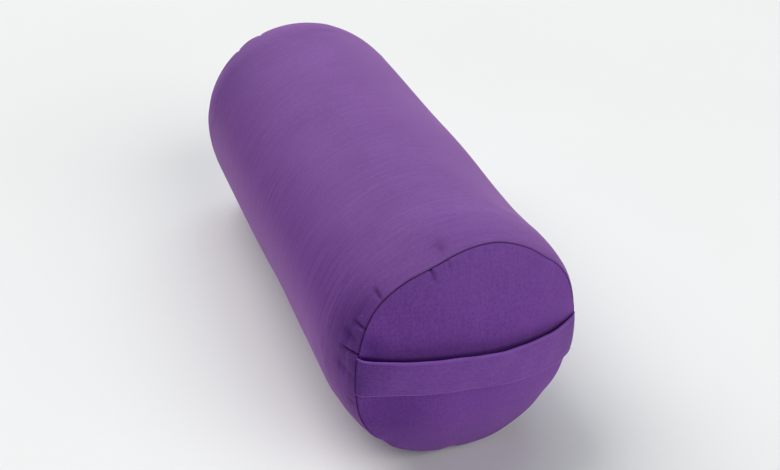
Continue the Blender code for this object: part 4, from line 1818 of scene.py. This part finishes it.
@dataclass
class ZipClosure:
    """The zip: two woven tapes, the coil, its slider and pull, and its metal stops."""

    form: BolsterForm
    tape_near: float = 3.35 * MM
    tape_far: float = 15.0 * MM
    tape_inset: float = 1.9 * MM
    tape_cloth: float = 0.55 * MM
    tape_half_length: float = 0.2250
    chain_start: float = -0.2163
    turns: int = 213
    coil: CoilTurn = field(default_factory=CoilTurn)
    stitch: Stitch = field(default_factory=lambda: Stitch(length=2.3 * MM, width=0.5 * MM, height=0.3 * MM))
    row_inset: float = 3.0 * MM
    row_sink: float = 0.08 * MM

    def place(self, obj: Piece) -> None:
        """Puts a piece made in the zip's frame in its place.

        Args:
            obj: the piece, with X across and down, Y along the zip and Z out of the cover.
        """
        out = direction(0, self.form.zip_angle)
        across = Vector((out.z, 0, -out.x))
        turn = Matrix((across, Vector((0, 1, 0)), out)).transposed().to_4x4()
        middle = Vector((0, 0, self.form.axis_height)) + out * self.form.body_radius
        obj.data.transform(Matrix.Translation(middle) @ turn)
        obj.data.update()

    def make_tape(self, name: str, side: int) -> Piece:
        """One woven tape, curved to the cover that it is sewn under.

        Args:
            name: the piece's name.
            side: -1 for the upper tape, 1 for the lower.

        Returns:
            The finished mesh object.
        """
        deselect()
        bpy.ops.mesh.primitive_grid_add(x_subdivisions=14, y_subdivisions=90, size=1, calc_uvs=False)
        obj = bpy.context.object
        obj.name = obj.data.name = name
        flat = points_of(obj)
        across = self.tape_near + (flat[:, 0] + 0.5) * (self.tape_far - self.tape_near)
        along = flat[:, 1] * 2 * self.tape_half_length
        cord = 0.25 * MM * bump(across - self.tape_near - 0.5 * MM, 0.5 * MM)
        reach = self.form.body_radius - self.tape_inset + cord
        turn = side * across / self.form.body_radius
        height = reach * np.cos(turn) - self.form.body_radius
        move_points(obj, np.stack([reach * np.sin(turn), along, height], -1))
        lay_uv(obj, np.stack([across, along], -1))
        if sum(face.normal.z for face in obj.data.polygons) < 0:
            edit_all(obj, bpy.ops.mesh.flip_normals)
        add_wall(obj, self.tape_cloth)
        self.place(obj)
        smooth(obj, 50)
        return obj

    def make_coil(self, name: str, side: int) -> Piece:
        """One side's coil, its turns between those of the other side.

        Args:
            name: the piece's name.
            side: -1 for the upper coil, 1 for the lower.

        Returns:
            The finished mesh object.
        """
        shift = 0.0 if side > 0 else self.coil.pitch / 2
        obj = self.coil.make_row(name, side, self.chain_start + shift, self.turns)
        self.place(obj)
        smooth(obj, 70)
        return obj

    def make_casting(self, node: str, name: str, edge: float) -> Piece:
        """A cast or pressed metal piece of the zip, with its edges broken.

        Args:
            node: the frame node with its shape.
            name: the piece's name.
            edge: how wide its broken edges are.

        Returns:
            The finished mesh object.
        """
        obj = merged_copy(node, name)
        sharp = math.radians(30)
        modify(obj, "BEVEL", width=edge, segments=2, limit_method="ANGLE", angle_limit=sharp)
        apply_modifiers(obj)
        smooth(obj, 35)
        return obj

    def slit_rows(self) -> list[tuple[Array, Array]]:
        """The row of stitches round the slit: points on the cover's face and the outward directions."""
        half_w = self.form.slit_half_width + self.row_inset
        half_l = self.form.slit_half_length + self.row_inset
        corners = np.array([(-1, -1), (-1, 1), (1, 1), (1, -1), (-1, -1)]) * (half_w, half_l)
        rows = []
        for start, end in zip(corners, corners[1:]):
            across, along = (start + (end - start) * np.linspace(0, 1, 120)[:, None]).T
            angle = self.form.zip_angle - across / self.form.body_radius
            outward = np.stack([np.cos(angle), 0 * angle, np.sin(angle)], -1)
            middle = np.stack([0 * along, along, 0 * along + self.form.axis_height], -1)
            rows.append((middle + outward * (self.form.body_radius - self.row_sink), outward))
        return rows

    def build(self, finishes: Finishes, effects: Effects) -> None:
        """Makes every piece of the zip and dresses it."""
        weave = finishes.tape.make(effects)
        nylon = finishes.nylon.make(effects)
        metal = finishes.metal.make(effects)
        for word, side in (("upper", -1), ("lower", 1)):
            tape = self.make_tape(f"woven_tape_{word}", side)
            settle_piece(tape, "bolster", f"zip_tape_{word}", weave)
            coil = self.make_coil(f"nylon_coil_{word}", side)
            settle_piece(coil, "bolster", f"zip_coil_{word}", nylon)
        castings = (
            ("zip_slider", "slider_casting", "slider", 0.22 * MM),
            ("zip_pull", "pull_tab", "pull", 0.28 * MM),
            ("zip_top_stop_upper", "top_stop_upper", "bolster", 0.15 * MM),
            ("zip_top_stop_lower", "top_stop_lower", "bolster", 0.15 * MM),
            ("zip_bottom_stop", "bottom_stop", "bolster", 0.15 * MM),
        )
        for node, name, body, edge in castings:
            settle_piece(self.make_casting(node, name, edge), body, node, metal)
        stitching = self.stitch.lay("zip_stitching", self.slit_rows())
        settle_piece(stitching, "bolster", None, finishes.thread.make(effects))


@dataclass
class Filling:
    """The muslin liner and the cotton inside it, which follow the stuffed form."""

    form: BolsterForm
    longest_edge: float = 0.03
    lump_size: float = 0.012
    near_skin: Pair = (0.06, 0.11)
    near_ends: Pair = (0.20, 0.26)

    def make_soft(self, node: str, name: str, fluff: float, shrink: float) -> Piece:
        """A soft piece in its frame node's form, rounded and shifted with the stuffed cover.

        Args:
            node: the frame node with its shape.
            name: the piece's name.
            fluff: the height of its fibres' lumps.
            shrink: how far its face draws back from the layer outside it.

        Returns:
            The finished mesh object.
        """
        obj = merged_copy(node, name)
        divide_long_edges(obj, self.longest_edge)
        modify(obj, "SUBSURF", levels=1, render_levels=1)
        if fluff:
            lumps = bpy.data.textures.new(name + "_lumps", "CLOUDS")
            lumps.noise_scale = self.lump_size
            modify(obj, "DISPLACE", texture=lumps, strength=fluff, mid_level=1.0)
        apply_modifiers(obj)
        points = points_of(obj)
        centre = np.array([0, 0, self.form.axis_height])
        inward = points - centre
        reach = np.linalg.norm(inward * (1, 0, 1), axis=1)
        pulled = 1 - shrink * ease(*self.near_skin, reach) / np.maximum(reach, 1e-6)
        points = centre + inward * np.stack([pulled, np.ones_like(pulled), pulled], -1)
        points[:, 1] -= np.sign(points[:, 1]) * shrink * ease(*self.near_ends, np.abs(points[:, 1]))
        move_points(obj, self.form.carry(points))
        lay_uv(obj, self.unrolled(points_of(obj)))
        smooth(obj, 60)
        return obj

    def unrolled(self, points: Array) -> Array:
        """Flat coordinates in metres for a cloth round the axis."""
        ends = np.abs(points[:, 1]) > self.form.seam_half
        angle = np.arctan2(points[:, 2] - self.form.axis_height, points[:, 0])
        around = angle * self.form.body_radius
        return np.where(ends[:, None], points[:, [0, 2]], np.stack([around, points[:, 1]], -1))

    def build(self, finishes: Finishes, effects: Effects) -> None:
        """Makes the liner and the filling and dresses them."""
        muslin = ("liner_muslin", finishes.muslin.make(effects))
        wadding = ("cotton_batting", finishes.wadding.make(effects))
        pieces = (
            ("liner_body", "muslin_body", muslin, 0.0, 1.6 * MM, 0.85),
            ("liner_end_front", "muslin_end_front", muslin, 0.0, 1.6 * MM, 0.85),
            ("liner_end_rear", "muslin_end_rear", muslin, 0.0, 1.6 * MM, 0.85),
            ("batting_wrap", "wadding_wrap", wadding, 0.5 * MM, 1.8 * MM, 0.8),
            ("batting_roll", "wadding_roll", wadding, 0.2 * MM, 2.0 * MM, 0.8),
            ("end_pad_front", "wadding_pad_front", wadding, 0.6 * MM, 2.2 * MM, 0.6),
            ("end_pad_rear", "wadding_pad_rear", wadding, 0.6 * MM, 2.2 * MM, 0.6),
        )
        for node, name, (slot, material), fluff, shrink, fill in pieces:
            settle_piece(self.make_soft(node, name, fluff, shrink), "bolster", node, material)


# The studio


@dataclass(frozen=True)
class Lamp:
    """One broad bank of light, so far away that it lights everything from one side.

    Its azimuth goes from +X towards +Y. Azimuth and elevation are in degrees.
    """

    name: str
    azimuth: float
    elevation: float
    energy: float
    color: Colour = (1.0, 1.0, 1.0)
    breadth: float = math.radians(50)

    def make(self) -> None:
        """Turns the lamp towards the bolster."""
        data = bpy.data.lights.new(self.name, "SUN")
        set_all(data, energy=self.energy, color=self.color, angle=self.breadth)
        back = direction(math.radians(self.azimuth), math.radians(self.elevation))
        link_new(self.name, data).matrix_world = back.to_track_quat("Z", "Y").to_matrix().to_4x4()


@dataclass(frozen=True)
class Studio:
    """The pale floor, the soft boxes and the camera at the photograph's angle."""

    target: Colour = (0.02771, 0.0, 0.07475)
    azimuth: float = math.radians(-110.889)
    elevation: float = math.radians(33.226)
    distance: float = 1.23663
    focal_pixels: float = 1055.9
    picture_width: int = 780
    sensor: float = 36.0
    floor_size: float = 24.0
    lamps: tuple[Lamp, ...] = (
        Lamp("rear_right_bank", 60, 53, 0.92, (0.85, 0.96, 1.0)),
        Lamp("rear_left_bank", 120, 49, 2.23, (1.0, 0.985, 0.985)),
        Lamp("front_right_bank", 300, 32, 1.60),
    )
    sky: Colour = (0.97, 0.98, 1.0)
    sky_strength: float = 0.08
    backing: Colour = (0.855, 0.871, 0.870)

    def build(self, effects: Effects) -> None:
        """Sets the scene round the bolster."""
        self.make_camera()
        self.make_floor(effects)
        for lamp in self.lamps:
            lamp.make()
        self.light_sky()
        bpy.context.scene.view_settings.view_transform = "Standard"

    def make_camera(self) -> None:
        """The camera, as far away and as long in the lens as the photograph's."""
        data = bpy.data.cameras.new("camera")
        lens = self.sensor * self.focal_pixels / self.picture_width
        set_all(data, sensor_width=self.sensor, lens=lens, clip_end=60)
        obj = link_new("camera", data)
        back = direction(self.azimuth, self.elevation)
        place = Matrix.Translation(Vector(self.target) + back * self.distance)
        obj.matrix_world = place @ back.to_track_quat("Z", "Y").to_matrix().to_4x4()
        bpy.context.scene.camera = obj

    def make_floor(self, effects: Effects) -> None:
        """One wide pale sheet."""
        deselect()
        bpy.ops.mesh.primitive_plane_add(size=self.floor_size)
        floor = bpy.context.object
        floor.name = "studio_floor"
        floor.data.materials.append(FloorFinish("pale_floor").make(effects))

    def light_sky(self) -> None:
        """An even surround, weak as a light and as pale as the floor where the camera sees it."""
        world = bpy.data.worlds.new("studio_surround")
        world.use_nodes = True
        g = Graph(world.node_tree)
        lighting = world.node_tree.nodes["Background"]
        g.feed(lighting.inputs["Color"], self.sky)
        g.feed(lighting.inputs["Strength"], self.sky_strength)
        seen = g.out("Background", {"Color": self.backing})
        by_eye = g.out("LightPath", output="Is Camera Ray")
        chosen = g.out("MixShader", {0: by_eye, 1: Wire(g, lighting.outputs[0]), 2: seen})
        g.feed(world.node_tree.nodes["World Output"].inputs["Surface"], chosen)
        bpy.context.scene.world = world


def main() -> None:
    """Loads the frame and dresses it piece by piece."""
    logging.basicConfig(level=logging.INFO, format="%(message)s")
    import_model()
    deselect()
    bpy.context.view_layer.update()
    form = BolsterForm()
    effects = Effects()
    finishes = Finishes()
    strap = CarryStrap(form)
    for part in (CoverPanels(form, strap.shade_behind), strap, ZipClosure(form), Filling(form)):
        part.build(finishes, effects)
    Studio().build(effects)


if __name__ == "__main__":
    main()
